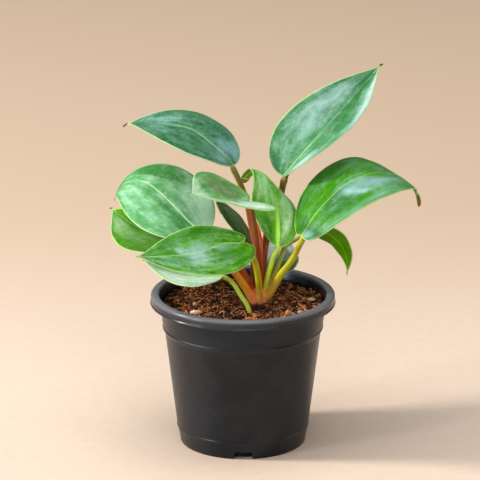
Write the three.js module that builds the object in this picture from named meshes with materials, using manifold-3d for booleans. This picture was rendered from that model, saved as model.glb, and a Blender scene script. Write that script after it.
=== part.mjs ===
// A young self-heading philodendron in a black nursery pot.
// Millimetres, +Z up, the origin at the middle of the pot's flat underside, the front towards -Y.
import * as THREE from 'three';
import { mergeVertices } from 'three/addons/utils/BufferGeometryUtils.js';
import Module from 'manifold-3d';

const wasm = await Module();
wasm.setup();

// Pot
const potHeight = 104.5;
const rimRadius = 62.5;
const lipHeight = 6.5;
const collarTopRadius = 56.4;
const collarFootRadius = 54.1;
const collarFootZ = 81.3;
const bodyTopRadius = 52.8;
const bodyTopZ = 78.4;
const bodyFootRadius = 44.7;
const bodyFootZ = 11.9;
const footTopRadius = 43.5;
const footTopZ = 6.9;
const footRadius = 42.4;
const wall = 1.2;
const floorThickness = 2.2;
const potSegments = 48;
const footChamfer = 0.8;
const lipFootRounding = 1.2;
const lipTopRounding = 1.7;
const mouthRounding = 0.9;
const drainSlot = { count: 4, width: 14.5, topWidth: 11.5, height: 5.3, depth: 8, margin: 2.6, turn: 0.5 };

// Soil and what stands in it
const fitGap = 0.3;
const soilGap = 0.35;
const soilLevel = 96.3;
const soilMound = { height: 1.6, radius: 54 };
const soilWaves = {
  wide: { height: 0.5, x: 0.31, xShift: 1.1, y: 0.27, yShift: -0.4 },
  fine: { height: 0.35, x: -0.23, y: 0.52 },
};
const soilHollow = { x: 11, y: -13.5, radius: 9, depth: 4 };
const soilEdgeDrop = 0.5;
const soilRings = [0.9, 0.78, 0.66, 0.54, 0.42, 0.3, 0.18, 0];
const soilToolHeight = 5;
const crown = {
  x: 10.5, y: 4, radius: 7.8, bottom: 80, footBevel: 1, soilZ: 98, shoulderWidth: 1, shoulderDrop: 3,
  topRadius: 5, topBevel: 1.5, top: 107.5, topRise: 0.5, sides: 20,
};
const crownHoleRadius = 9;
const frontHole = { x: 5, y: -25, radius: 3.5, bottom: 83.5 };
const holeSides = 24;
const holeToolHeight = 40;

// Leaf blades
const bladeThickness = 0.8;
const midribExtra = 0.7;
const bladeRows = 13;
const halfColumns = 3;
const tailRows = 3;
const tailHalfWidth = 0.55;
const tailNarrowing = 0.4;
const marginBend = 0.45;
const notchShare = 0.34;
const tipStart = 0.85;
const tipHollow = 1.15;
const veinStart = 1.35;
const veinBend = 1.25;
const ribEnd = 0.8;

// Stalks
const petioleSides = 9;
const petioleStep = 6;
const petioleReach = 1.5;
const droopShare = 0.6;
const bladeClearance = 0.4;

const colours = {
  pot: 0x24272b,
  soil: 0x3a2416,
  grit: 0xd8c8a8,
  crown: 0xa8621e,
  frontPetiole: 0xa9b545,
  sheath: 0x8c2412,
  leaf: 0x3f7f3a,
  youngLeaf: 0x55a02e,
  shadeLeaf: 0x35543c,
};

// One entry for each leaf. joint is where the blade meets its petiole. heading is the compass direction of
// the midrib there (0 is +X, 90 is +Y), rise its angle above level, arch how far it has bent down at the tip
// and sweep how far it has turned sideways. roll and tipRoll turn the blade about the midrib. foldLeft and
// foldRight lift each half from flat, and curl bends it on towards the margin. petiole lists the stalk's
// middle line, from its foot to just short of the blade.
const leaves = [
  {
    name: 'upper_left', colour: 'leaf', joint: [-6, 14, 189.5],
    length: 85.5, width: 46, lobe: 0, widest: 0.35, fullness: 1.9, tail: 4.5, tailCurl: 40,
    heading: 151, rise: 47, arch: 60, archPower: 0.8, sweep: 6, roll: 2, tipRoll: 30,
    foldLeft: 7, foldRight: 8, curl: -9,
    petiole: [[10, 5, 97], [10, 7, 105.5], [9.5, 10, 123], [7.5, 14, 137], [5, 17, 151], [2.5, 17, 164.5],
      [-0.5, 17, 173]],
    footRadius: 2.3, neckRadius: 1.9,
  },
  {
    name: 'upper_right', colour: 'leaf', joint: [27.5, 24, 179],
    length: 109.5, width: 58.5, lobe: 0, widest: 0.3, fullness: 1.8, tail: 3.5, tailCurl: 25,
    heading: 41, rise: 36, arch: 7, archPower: 1.25, sweep: 6, roll: 13, tipRoll: -25,
    foldLeft: 22, foldRight: 14, curl: 5,
    petiole: [[11.5, 7, 97], [12, 8, 104.5], [13, 8.5, 118.5], [15, 10.5, 135.5], [18, 15, 146],
      [21.5, 20, 154.5], [24.5, 25, 162], [26.5, 28, 168.5]],
    footRadius: 3.1, neckRadius: 2.2,
  },
  {
    name: 'left', colour: 'leaf', joint: [-27.5, 2, 145],
    length: 96, width: 59.5, lobe: 1, widest: 0.3, fullness: 1.95, tail: 2, tailCurl: 10,
    heading: 145, rise: 33, arch: 108, archPower: 2.6, sweep: -15, roll: -1, tipRoll: 33,
    foldLeft: -13, foldRight: 9, curl: 2,
    petiole: [[9.5, 2, 94], [7, 0, 98.5], [2, -2.5, 108.5], [-5, -4, 119.5], [-15, -2.5, 132.5]],
    footRadius: 3.4, neckRadius: 2.6,
  },
  {
    name: 'left_under', colour: 'youngLeaf', joint: [-21, 12, 136.5],
    length: 86, width: 53, lobe: 3, widest: 0.5, fullness: 2.1, tail: 3, tailCurl: 60,
    heading: 158, rise: -7, arch: -30, archPower: 1.4, sweep: -27, roll: 11, tipRoll: 37,
    foldLeft: 10, foldRight: 2, curl: 7,
    petiole: [[9.5, 4, 96], [8, 4.5, 102], [4, 5, 111], [-1.5, 7, 119.5], [-8.5, 10, 128]],
    footRadius: 2.4, neckRadius: 1.8,
  },
  {
    name: 'centre_left', colour: 'shadeLeaf', joint: [4.5, -7.5, 171.5],
    length: 75.5, width: 55.5, lobe: 9.5, widest: 0.3, fullness: 2.3, tail: 2, tailCurl: 0,
    heading: 241, rise: 17, arch: -2, archPower: 1.3, sweep: -5, roll: 8, tipRoll: 12,
    foldLeft: 5, foldRight: 26, curl: -4,
    petiole: [[11, 3, 96], [11, 3, 105], [10.5, 1, 126], [9.5, -1, 138.5], [8, -2.5, 151], [6.5, -4.5, 160]],
    footRadius: 2.2, neckRadius: 1.8,
  },
  {
    name: 'front_left', colour: 'youngLeaf', joint: [0.5, -24, 147.5],
    length: 81, width: 49, lobe: 6, widest: 0.3, fullness: 1.85, tail: 2, tailCurl: 0,
    heading: 212, rise: -3, arch: -14, archPower: 1.55, sweep: -3, roll: 8, tipRoll: 21,
    foldLeft: -17, foldRight: 9, curl: 10,
    petiole: [[11, 1.5, 94], [11.5, -2, 100.5], [11, -5, 109], [10, -10, 120], [8, -16, 131],
      [5, -20.5, 139]],
    footRadius: 2.4, neckRadius: 1.9,
  },
  {
    name: 'centre', colour: 'youngLeaf', joint: [23.5, 0, 138.5],
    length: 71, width: 34, lobe: 2.5, widest: 0.4, fullness: 1.9, tail: 3.5, tailCurl: 0,
    heading: 81, rise: 80, arch: 150, archPower: 2.8, sweep: 73, roll: 29, tipRoll: -44,
    foldLeft: -7, foldRight: -22, curl: -25,
    petiole: [[12.5, 5, 97], [14.5, 6, 103.5], [16.5, 5, 114], [18.5, 4, 121.5], [20.5, 2.5, 129]],
    footRadius: 2.2, neckRadius: 1.6,
  },
  {
    name: 'back_left', colour: 'shadeLeaf', joint: [5.5, 18, 131],
    length: 56, width: 32.5, lobe: 1, widest: 0.35, fullness: 1.75, tail: 2, tailCurl: 0,
    heading: 122, rise: 54, arch: 70, archPower: 1.15, sweep: -9, roll: -42, tipRoll: -23,
    foldLeft: -6, foldRight: -10, curl: -9,
    petiole: [[9.5, 6, 97], [8, 8, 103.5], [7, 12, 113], [6.5, 15.5, 121.5]],
    footRadius: 2, neckRadius: 1.5,
  },
  {
    name: 'right', colour: 'leaf', joint: [39.5, -10, 148],
    length: 109.5, width: 61.5, lobe: 3, widest: 0.56, fullness: 2.3, tail: 10.5, tailCurl: 25,
    heading: 21, rise: 57, arch: 119, archPower: 1.54, sweep: 12.6, roll: -9, tipRoll: -3.5,
    foldLeft: -0.5, foldRight: -6.7, curl: 1,
    petiole: [[13, 3.5, 94], [16, 2, 100], [20.5, 1, 108], [26, -1, 118.5], [30.5, -3, 125], [34.5, -5, 132],
      [37, -7.5, 138.5]],
    footRadius: 3, neckRadius: 2,
  },
  {
    name: 'right_under', colour: 'youngLeaf', joint: [42, 12, 143.5],
    length: 49.5, width: 27.5, lobe: 0.5, widest: 0.4, fullness: 1.55, tail: 2, tailCurl: 0,
    heading: 5, rise: 23, arch: 122, archPower: 0.8, sweep: 7, roll: 33, tipRoll: 20,
    foldLeft: -14, foldRight: -5, curl: 16,
    petiole: [[13, 6, 97], [16, 8, 104.5], [20.5, 9, 113], [23.5, 10, 119.5], [26, 11, 127], [29, 12, 133.5],
      [35, 12.5, 137.5]],
    footRadius: 2, neckRadius: 1.3,
  },
  {
    name: 'back_low', colour: 'shadeLeaf', joint: [20.5, 14, 117],
    length: 58, width: 35.5, lobe: 3, widest: 0.35, fullness: 1.75, tail: 2, tailCurl: 0,
    heading: 85, rise: 25, arch: 45, archPower: 1.3, sweep: 3, roll: -9, tipRoll: -2,
    foldLeft: -12, foldRight: -19, curl: -2,
    petiole: [[12, 7, 97], [14.5, 9.5, 103.5], [17, 10.5, 109]],
    footRadius: 2, neckRadius: 1.6,
  },
  {
    name: 'front_low', colour: 'leaf', joint: [-14, -16, 122],
    length: 56.5, width: 34.5, lobe: 1.5, widest: 0.35, fullness: 1.8, tail: 2, tailCurl: 0,
    heading: 164, rise: -8, arch: -26, archPower: 1.3, sweep: -10, roll: 7, tipRoll: 2,
    foldLeft: -3, foldRight: 3, curl: -1, ownFoot: true,
    petiole: [[5, -25, 84], [5, -25, 90], [4.8, -24.7, 95.5], [3.1, -22.5, 102.3], [-1.3, -19.5, 108.7],
      [-7, -16.5, 117]],
    footRadius: 1.9, neckRadius: 1.5,
  },
];

const sheath = {
  path: [[11, 5.5, 100], [11, 5.5, 107], [11, 5, 124], [11, 6, 137], [10, 10, 146], [8.5, 14, 153]],
  radius: 3,
  tipRadius: 1,
  steps: 12,
};

const gritClearance = 0.45;
// Loose chips on the soil: place, length, width, height and turn.
const gritChips = [
  { x: 46.5, y: 4, length: 5.2, width: 3.2, height: 2.6, turn: 15 },
  { x: 38.5, y: -22, length: 4.6, width: 3.2, height: 2, turn: 40 },
  { x: -31.5, y: -25, length: 8, width: 5.5, height: 2.8, turn: -10 },
  { x: -32.3, y: -10, length: 3.4, width: 3, height: 2.6, turn: 60 },
];

const degrees = Math.PI / 180;
const weldDistance = 1e-5;
const vector = (point) => new THREE.Vector3(...point);

// A closed geometry with its shared corners merged and its empty triangles left out.
function weld(geometry) {
  const bare = geometry.clone();
  bare.deleteAttribute('normal');
  bare.deleteAttribute('uv');
  const merged = mergeVertices(bare, weldDistance);
  const index = merged.index.array;
  const kept = [];
  for (let i = 0; i < index.length; i += 3) {
    const [a, b, c] = [index[i], index[i + 1], index[i + 2]];
    if (a !== b && b !== c && c !== a) kept.push(a, b, c);
  }
  merged.setIndex(kept);
  return merged;
}

function toSolid(geometry) {
  const welded = weld(geometry);
  const vertProperties = new Float32Array(welded.attributes.position.array);
  const triVerts = new Uint32Array(welded.index.array);
  return new wasm.Manifold(new wasm.Mesh({ numProp: 3, vertProperties, triVerts }));
}

function fromSolid(solid) {
  const mesh = solid.getMesh();
  const geometry = new THREE.BufferGeometry();
  geometry.setAttribute('position', new THREE.BufferAttribute(new Float32Array(mesh.vertProperties), 3));
  geometry.setIndex(Array.from(mesh.triVerts));
  return geometry;
}

// LatheGeometry turns about Y, so the result is stood up along Z.
function turned(profile, segments) {
  const points = profile.map(([radius, z]) => new THREE.Vector2(radius, z));
  return new THREE.LatheGeometry(points, segments).rotateX(Math.PI / 2);
}

// A rod of round section along a smooth curve, its radius changing evenly from foot to tip.
function taperedRod(points, footRadius, tipRadius, steps, sides = petioleSides) {
  const curve = new THREE.CatmullRomCurve3(points.map(vector));
  const frames = curve.computeFrenetFrames(steps, false);
  const positions = [];
  const index = [];
  for (let i = 0; i <= steps; i += 1) {
    const centre = curve.getPointAt(i / steps);
    const radius = footRadius + (tipRadius - footRadius) * (i / steps);
    for (let j = 0; j < sides; j += 1) {
      const angle = (2 * Math.PI * j) / sides;
      const corner = centre.clone()
        .addScaledVector(frames.normals[i], radius * Math.cos(angle))
        .addScaledVector(frames.binormals[i], radius * Math.sin(angle));
      positions.push(...corner.toArray());
    }
  }
  const foot = positions.length / 3;
  positions.push(...curve.getPointAt(0).toArray(), ...curve.getPointAt(1).toArray());
  for (let j = 0; j < sides; j += 1) {
    const next = (j + 1) % sides;
    for (let i = 0; i < steps; i += 1) {
      const [a, b] = [i * sides + j, i * sides + next];
      index.push(a, b, b + sides, a, b + sides, a + sides);
    }
    index.push(foot, next, j, foot + 1, steps * sides + j, steps * sides + next);
  }
  const geometry = new THREE.BufferGeometry();
  geometry.setAttribute('position', new THREE.Float32BufferAttribute(positions, 3));
  geometry.setIndex(index);
  return geometry;
}

// The midrib of a leaf: for a distance along it, its point and its along, side and up directions.
function midribFrames(leaf) {
  const samples = 60;
  const total = leaf.length + leaf.tail;
  const step = total / samples;
  const directionAt = (distance) => {
    const share = Math.min(distance / leaf.length, 1);
    const past = Math.max(distance - leaf.length, 0) / Math.max(leaf.tail, 1);
    const rise = (leaf.rise - leaf.arch * share ** leaf.archPower - leaf.tailCurl * past) * degrees;
    const heading = (leaf.heading + leaf.sweep * share) * degrees;
    const roll = (leaf.roll + (leaf.tipRoll - leaf.roll) * share) * degrees;
    const along = new THREE.Vector3(
      Math.cos(rise) * Math.cos(heading), Math.cos(rise) * Math.sin(heading), Math.sin(rise));
    const level = new THREE.Vector3(Math.sin(heading), -Math.cos(heading), 0);
    const over = new THREE.Vector3().crossVectors(level, along);
    const side = level.clone().multiplyScalar(Math.cos(roll)).addScaledVector(over, Math.sin(roll));
    const up = over.clone().multiplyScalar(Math.cos(roll)).addScaledVector(level, -Math.sin(roll));
    return { along, side, up };
  };
  const points = [vector(leaf.joint)];
  for (let i = 0; i < samples; i += 1) {
    points.push(points[i].clone().addScaledVector(directionAt((i + 0.5) * step).along, step));
  }
  return (distance) => {
    const clamped = Math.min(Math.max(distance, 0), total);
    const place = Math.min(Math.floor(clamped / step), samples - 1);
    const point = points[place].clone().lerp(points[place + 1], clamped / step - place);
    const frame = directionAt(clamped);
    point.addScaledVector(frame.along, distance - clamped);
    return { point, ...frame };
  };
}

// The margin of a flat blade, from the joint (0) round the lobe and the widest place to the tip (1).
function marginPoint(leaf, place) {
  const half = leaf.width / 2;
  const widest = leaf.widest * leaf.length;
  if (place < marginBend) {
    const angle = (Math.PI / 2) * (place / marginBend);
    const across = Math.sin(angle);
    const notch = leaf.lobe * Math.max(1 - across / notchShare, 0) ** 2;
    return [across * half, widest - (widest + leaf.lobe) * Math.cos(angle) + notch];
  }
  const share = ((place - marginBend) / (1 - marginBend)) ** tipStart;
  const across = Math.max(1 - share ** leaf.fullness, 0) ** tipHollow;
  return [Math.max(across * half, tailHalfWidth), widest + (leaf.length - widest) * share];
}

// A point of the blade's middle surface, and the direction it faces.
function bladePoint(leaf, frameAt, across, along) {
  const frame = frameAt(along);
  const fold = across > 0 ? leaf.foldRight : leaf.foldLeft;
  const angleAt = (share) => (fold + leaf.curl * share) * degrees;
  const share = (2 * Math.abs(across)) / leaf.width;
  const lean = angleAt(share / 2);
  const point = frame.point.clone()
    .addScaledVector(frame.side, across * Math.cos(lean))
    .addScaledVector(frame.up, Math.abs(across) * Math.sin(lean));
  const edge = Math.abs(across) < 1e-6 ? 0 : Math.sign(across) * angleAt(share);
  const facing = frame.up.clone().multiplyScalar(Math.cos(edge)).addScaledVector(frame.side, -Math.sin(edge));
  return { point, facing };
}

// A blade: rows that follow the side veins from the midrib to the margin, then the narrow tail of the tip.
function bladeGeometry(leaf, extra = 0) {
  const frameAt = midribFrames(leaf);
  const columns = 2 * halfColumns + 1;
  const top = [];
  const bottom = [];
  const addPoint = (across, along, thickness, onRib) => {
    const { point, facing } = bladePoint(leaf, frameAt, across, along);
    top.push(point.clone().addScaledVector(facing, thickness / 2 + extra));
    bottom.push(point.clone().addScaledVector(facing, -thickness / 2 - extra - (onRib ? midribExtra : 0)));
  };
  addPoint(0, 0, bladeThickness, false);
  for (let row = 1; row <= bladeRows + tailRows - 1; row += 1) {
    const onTail = row > bladeRows;
    const place = Math.min(row / bladeRows, 1);
    const [edgeAcross, edgeAlong] = marginPoint(leaf, place);
    const tailShare = onTail ? (row - bladeRows) / tailRows : 0;
    const start = leaf.length * place ** veinStart + leaf.tail * tailShare;
    const end = edgeAlong + leaf.tail * tailShare;
    for (let column = -halfColumns; column <= halfColumns; column += 1) {
      const share = Math.abs(column) / halfColumns;
      const along = start + (end - start) * share ** veinBend;
      const narrowing = onTail ? 1 - tailNarrowing * tailShare : 1;
      const onRib = column === 0 && place < ribEnd;
      addPoint(Math.sign(column) * share * edgeAcross * narrowing, along, bladeThickness, onRib);
    }
  }
  addPoint(0, leaf.length + leaf.tail, bladeThickness, false);

  const rows = bladeRows + tailRows - 1;
  const last = 1 + rows * columns;
  const at = (row, column) => 1 + (row - 1) * columns + column;
  const face = [];
  for (let column = 0; column < columns - 1; column += 1) {
    face.push([0, at(1, column + 1), at(1, column)]);
    face.push([last, at(rows, column), at(rows, column + 1)]);
    for (let row = 1; row < rows; row += 1) {
      const [a, b] = [at(row, column), at(row, column + 1)];
      const [c, d] = [at(row + 1, column + 1), at(row + 1, column)];
      if (column < halfColumns) face.push([a, b, d], [b, c, d]);
      else face.push([a, b, c], [a, c, d]);
    }
  }
  const outline = [0];
  for (let row = 1; row <= rows; row += 1) outline.push(at(row, columns - 1));
  outline.push(last);
  for (let row = rows; row >= 1; row -= 1) outline.push(at(row, 0));

  const under = last + 1;
  const index = [];
  for (const [a, b, c] of face) index.push(a, b, c, under + a, under + c, under + b);
  outline.forEach((a, i) => {
    const b = outline[(i + 1) % outline.length];
    index.push(a, under + a, under + b, a, under + b, b);
  });
  const geometry = new THREE.BufferGeometry();
  const positions = [...top, ...bottom].flatMap((point) => point.toArray());
  geometry.setAttribute('position', new THREE.Float32BufferAttribute(positions, 3));
  geometry.setIndex(index);
  return geometry;
}

// A petiole ends under the blade's joint. What would come nearer than the gap to the blade is cut away.
function petioleSolid(leaf, extra = 0) {
  const frame = midribFrames(leaf)(0);
  const droop = Math.sin(Math.max(-leaf.foldLeft, -leaf.foldRight, 0) * degrees) * leaf.neckRadius;
  const below = leaf.neckRadius + bladeThickness / 2 + fitGap + droopShare * droop;
  const end = frame.point.addScaledVector(frame.up, -below).addScaledVector(frame.along, petioleReach);
  const points = [...leaf.petiole, end.toArray()];
  const curve = new THREE.CatmullRomCurve3(points.map(vector));
  const steps = Math.max(6, Math.round(curve.getLength() / petioleStep));
  const rod = taperedRod(points, leaf.footRadius + extra, leaf.neckRadius + extra, steps);
  return toSolid(rod).subtract(toSolid(bladeGeometry(leaf, bladeClearance)));
}

// A rounded corner of a profile: a quarter circle about the given centre, in three steps.
function roundedCorner(radius, z, size, firstAngle) {
  return [0, 30, 60, 90].map((turn) => {
    const angle = (firstAngle + turn) * degrees;
    return [radius + size * Math.cos(angle), z + size * Math.sin(angle)];
  });
}

function potSolid() {
  const lipFoot = potHeight - lipHeight;
  const outer = [
    [0, 0], [footRadius - footChamfer, 0], [footRadius, footChamfer], [footTopRadius, footTopZ],
    [bodyFootRadius, bodyFootZ], [bodyTopRadius, bodyTopZ], [collarFootRadius, collarFootZ],
    [collarTopRadius, lipFoot],
    ...roundedCorner(rimRadius - lipFootRounding, lipFoot + lipFootRounding, lipFootRounding, -90),
    ...roundedCorner(rimRadius - lipTopRounding, potHeight - lipTopRounding, lipTopRounding, 0),
  ];
  const inner = [
    ...roundedCorner(collarTopRadius + mouthRounding, potHeight - mouthRounding, mouthRounding, 90),
    [collarTopRadius - wall, lipFoot], [collarFootRadius - wall, collarFootZ],
    [bodyTopRadius - wall, bodyTopZ], [bodyFootRadius - wall, bodyFootZ], [footTopRadius - wall, footTopZ],
    [footRadius - wall, floorThickness], [0, floorThickness],
  ];
  const outline = new THREE.Shape();
  outline.moveTo(-drainSlot.width / 2, -footChamfer);
  outline.lineTo(drainSlot.width / 2, -footChamfer);
  outline.lineTo(drainSlot.topWidth / 2, drainSlot.height);
  outline.lineTo(-drainSlot.topWidth / 2, drainSlot.height);
  outline.closePath();
  const depth = drainSlot.depth + drainSlot.margin;
  const slot = new THREE.ExtrudeGeometry(outline, { depth, bevelEnabled: false }).rotateX(Math.PI / 2);
  const slotTool = toSolid(slot.translate(0, drainSlot.depth - footRadius, 0));
  let solid = toSolid(turned([...outer, ...inner], potSegments));
  for (let i = 0; i < drainSlot.count; i += 1) {
    solid = solid.subtract(slotTool.rotate([0, 0, (360 * i) / drainSlot.count + drainSlot.turn]));
  }
  return solid;
}

// Height of the soil's surface: a low mound with an uneven, crumbly relief and a hollow before the crown.
function soilHeight(x, y) {
  const { wide, fine } = soilWaves;
  const share = Math.min(Math.hypot(x, y) / soilMound.radius, 1);
  const mound = soilMound.height * Math.cos((share * Math.PI) / 2);
  const wideWave = wide.height * Math.sin(wide.x * x + wide.xShift) * Math.cos(wide.y * y + wide.yShift);
  const fineWave = fine.height * Math.sin(fine.y * y + fine.x * x);
  const fromHollow = Math.hypot(x - soilHollow.x, y - soilHollow.y) / soilHollow.radius;
  return soilLevel + mound + wideWave + fineWave - soilHollow.depth * Math.exp(-(fromHollow ** 2));
}

function soilSolid() {
  const inset = wall + soilGap;
  const sideTop = soilLevel - soilEdgeDrop;
  const slope = (sideTop - collarFootZ) / (potHeight - lipHeight - collarFootZ);
  const topRadius = collarFootRadius + (collarTopRadius - collarFootRadius) * slope - inset;
  const profile = [
    [0, floorThickness + soilGap], [footRadius - inset, floorThickness + soilGap],
    [footTopRadius - inset, footTopZ], [bodyFootRadius - inset, bodyFootZ], [bodyTopRadius - inset, bodyTopZ],
    [collarFootRadius - inset, collarFootZ], [topRadius, sideTop],
    ...soilRings.map((share) => [topRadius * share, soilLevel + soilToolHeight]),
  ];
  const geometry = turned(profile, potSegments);
  const position = geometry.attributes.position;
  for (let i = 0; i < position.count; i += 1) {
    if (position.getZ(i) > soilLevel) position.setZ(i, soilHeight(position.getX(i), position.getY(i)));
  }
  const hole = (x, y, radius, bottom) => {
    const tool = new THREE.CylinderGeometry(radius, radius, holeToolHeight, holeSides).rotateX(Math.PI / 2);
    return toSolid(tool.translate(x, y, bottom + holeToolHeight / 2));
  };
  return toSolid(geometry)
    .subtract(hole(crown.x, crown.y, crownHoleRadius, crown.bottom - fitGap))
    .subtract(hole(frontHole.x, frontHole.y, frontHole.radius, frontHole.bottom));
}

// The short stem with the petioles that grow from it. extra makes every part of it that much thicker.
function crownSolid(extra = 0) {
  const radius = crown.radius + extra;
  const topRadius = crown.topRadius + extra;
  const profile = [
    [0, crown.bottom], [radius - crown.footBevel, crown.bottom], [radius, crown.bottom + crown.footBevel],
    [radius, crown.soilZ], [topRadius + crown.shoulderWidth, crown.top - crown.shoulderDrop],
    [topRadius - crown.topBevel, crown.top + extra], [0, crown.top + crown.topRise + extra],
  ];
  const stub = turned(profile, crown.sides).translate(crown.x, crown.y, 0);
  return leaves.filter((leaf) => !leaf.ownFoot)
    .reduce((solid, leaf) => solid.add(petioleSolid(leaf, extra)), toSolid(stub));
}

// The red sheath of the newest leaf fills the room between the petioles.
function sheathSolid() {
  const rod = taperedRod(sheath.path, sheath.radius, sheath.tipRadius, sheath.steps);
  const pieces = toSolid(rod).subtract(crownSolid(fitGap)).decompose();
  return pieces.reduce((a, b) => (a.volume() > b.volume() ? a : b));
}

function gritGeometry(chip) {
  const lump = new THREE.IcosahedronGeometry(0.5, 1).scale(chip.length, chip.width, chip.height);
  lump.rotateZ(chip.turn * degrees);
  const z = soilHeight(chip.x, chip.y) + chip.height / 2 + gritClearance;
  return weld(lump.translate(chip.x, chip.y, z));
}

const group = new THREE.Group();
function addMesh(name, geometry, colour, roughness) {
  const material = new THREE.MeshStandardMaterial({ color: colours[colour], roughness, metalness: 0 });
  const mesh = new THREE.Mesh(geometry, material);
  mesh.name = name;
  group.add(mesh);
}

addMesh('pot', fromSolid(potSolid()), 'pot', 0.45);
addMesh('soil', fromSolid(soilSolid()), 'soil', 0.95);
gritChips.forEach((chip, i) => addMesh(`grit_${i + 1}`, gritGeometry(chip), 'grit', 0.85));
addMesh('crown', fromSolid(crownSolid()), 'crown', 0.4);
addMesh('sheath', fromSolid(sheathSolid()), 'sheath', 0.35);
for (const leaf of leaves) {
  addMesh(`leaf_${leaf.name}`, bladeGeometry(leaf), leaf.colour, 0.35);
  if (leaf.ownFoot) addMesh(`petiole_${leaf.name}`, fromSolid(petioleSolid(leaf)), 'frontPetiole', 0.4);
}

export default group;
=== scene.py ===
# Looks of a young self-heading philodendron in a black nursery pot.
# Sizes are in millimetres, and a mesh is turned into metres when it is finished.
import math
import random

import bmesh
import bpy
import numpy as np
from mathutils import Matrix, Vector, noise


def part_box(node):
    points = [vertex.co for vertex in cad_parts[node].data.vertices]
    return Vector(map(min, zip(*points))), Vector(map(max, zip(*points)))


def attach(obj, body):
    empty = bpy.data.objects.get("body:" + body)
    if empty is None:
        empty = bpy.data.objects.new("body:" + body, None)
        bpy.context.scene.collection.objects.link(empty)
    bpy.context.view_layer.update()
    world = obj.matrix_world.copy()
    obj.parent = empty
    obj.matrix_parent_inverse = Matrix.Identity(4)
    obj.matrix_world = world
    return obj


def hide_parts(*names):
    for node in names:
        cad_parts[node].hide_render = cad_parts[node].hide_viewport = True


mm = 0.001
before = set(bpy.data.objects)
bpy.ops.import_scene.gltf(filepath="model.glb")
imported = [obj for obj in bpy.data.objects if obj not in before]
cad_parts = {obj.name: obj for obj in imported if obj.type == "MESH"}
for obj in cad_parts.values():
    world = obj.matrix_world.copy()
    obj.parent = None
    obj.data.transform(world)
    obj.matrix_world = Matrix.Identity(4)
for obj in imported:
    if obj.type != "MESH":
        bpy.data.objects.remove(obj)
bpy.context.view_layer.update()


# camera and light

cameraView = {"aim": (-1.95, 0, 141.66), "distance": 2800, "pitch": 17.66, "lens": 312.1, "sensor": 36,
              "reach": 50000}
lightAim = (0, 0, 150)
lights = {
    "key": {"place": (-2350, -120, 1450), "size": (400, 400), "power": 80, "tone": (1.0, 0.96, 0.90)},
    "top": {"place": (50, -50, 2300), "size": (1500, 1500), "power": 30, "tone": (0.92, 0.97, 1.0)},
    "back": {"place": (-100, 1700, 1200), "size": (3000, 1000), "power": 4, "tone": (0.88, 0.95, 1.0)},
    "fill": {"place": (250, -1800, 1500), "size": (1400, 1000), "power": 13, "tone": (1.0, 0.99, 0.97)},
    "side": {"place": (-1560, -960, 400), "size": (260, 700), "power": 16, "tone": (0.94, 0.97, 1.0)},
    "band": {"place": (1050, -1550, 260), "size": (200, 700), "power": 3, "tone": (0.94, 0.97, 1.0)},
    "bounce": {"place": (1700, 350, 500), "size": (1300, 1000), "power": 7, "tone": (1.0, 0.80, 0.62)},
}
worldLook = {"tone": (0.93, 0.96, 1.0), "strength": 0.16}


def addCamera(view):
    data = bpy.data.cameras.new("camera")
    data.lens = view["lens"]
    data.sensor_width = view["sensor"]
    data.clip_end = view["reach"] * mm
    camera = bpy.data.objects.new("camera", data)
    bpy.context.scene.collection.objects.link(camera)
    pitch = math.radians(view["pitch"])
    back = Vector((0, -math.cos(pitch), math.sin(pitch))) * view["distance"]
    camera.location = (Vector(view["aim"]) + back) * mm
    camera.rotation_euler = (math.pi / 2 - pitch, 0, 0)
    bpy.context.scene.camera = camera


def addLight(name, light):
    data = bpy.data.lights.new(name, "AREA")
    data.shape = "RECTANGLE"
    data.size, data.size_y = light["size"][0] * mm, light["size"][1] * mm
    data.energy = light["power"]
    data.color = light["tone"]
    lamp = bpy.data.objects.new(name, data)
    lamp.location = Vector(light["place"]) * mm
    toPlant = Vector(lightAim) * mm - lamp.location
    lamp.rotation_euler = toPlant.to_track_quat("-Z", "Y").to_euler()
    bpy.context.scene.collection.objects.link(lamp)


def addWorld(look):
    world = bpy.data.worlds.new("studio")
    world.use_nodes = True
    background = world.node_tree.nodes["Background"]
    background.inputs["Color"].default_value = (*look["tone"], 1)
    background.inputs["Strength"].default_value = look["strength"]
    bpy.context.scene.world = world


# shader helpers

def fill(tree, node, inputs):
    for key, value in inputs.items():
        if isinstance(value, bpy.types.NodeSocket):
            tree.links.new(value, node.inputs[key])
        else:
            node.inputs[key].default_value = value


def addNode(tree, kind, inputs=None, **settings):
    node = tree.nodes.new(kind)
    for key, value in settings.items():
        setattr(node, key, value)
    fill(tree, node, inputs or {})
    return node.outputs


def calc(tree, operation, a, b=0.0, clamp=False):
    return addNode(tree, "ShaderNodeMath", {0: a, 1: b}, operation=operation, use_clamp=clamp)[0]


def times(tree, a, b):
    return calc(tree, "MULTIPLY", a, b)


# The sum of a few masks, each times its weight.
def weighed(tree, *parts, start=0.0):
    total = start
    for mask, weight in parts:
        total = addNode(tree, "ShaderNodeMath", {0: mask, 1: weight, 2: total}, operation="MULTIPLY_ADD")[0]
    return total


def fade(tree, value, start, end, low=0.0, high=1.0):
    inputs = {"Value": value, "From Min": start, "From Max": end, "To Min": low, "To Max": high}
    return addNode(tree, "ShaderNodeMapRange", inputs, interpolation_type="SMOOTHSTEP")[0]


# Lays a tone over a colour, as far as the mask goes, times a share where one is given.
def lay(tree, colour, tone, mask, share=None, kind="MIX"):
    factor = mask if share is None else times(tree, mask, share)
    a, b = [c if isinstance(c, bpy.types.NodeSocket) else (*c, 1) for c in (colour, tone)]
    return addNode(tree, "ShaderNodeMix", {0: factor, 6: a, 7: b}, data_type="RGBA", blend_type=kind)[2]


def cloud(tree, vector, scale, detail=3.0, roughness=0.55):
    inputs = {"Vector": vector, "Scale": scale, "Detail": detail, "Roughness": roughness}
    return addNode(tree, "ShaderNodeTexNoise", inputs)[0]


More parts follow.
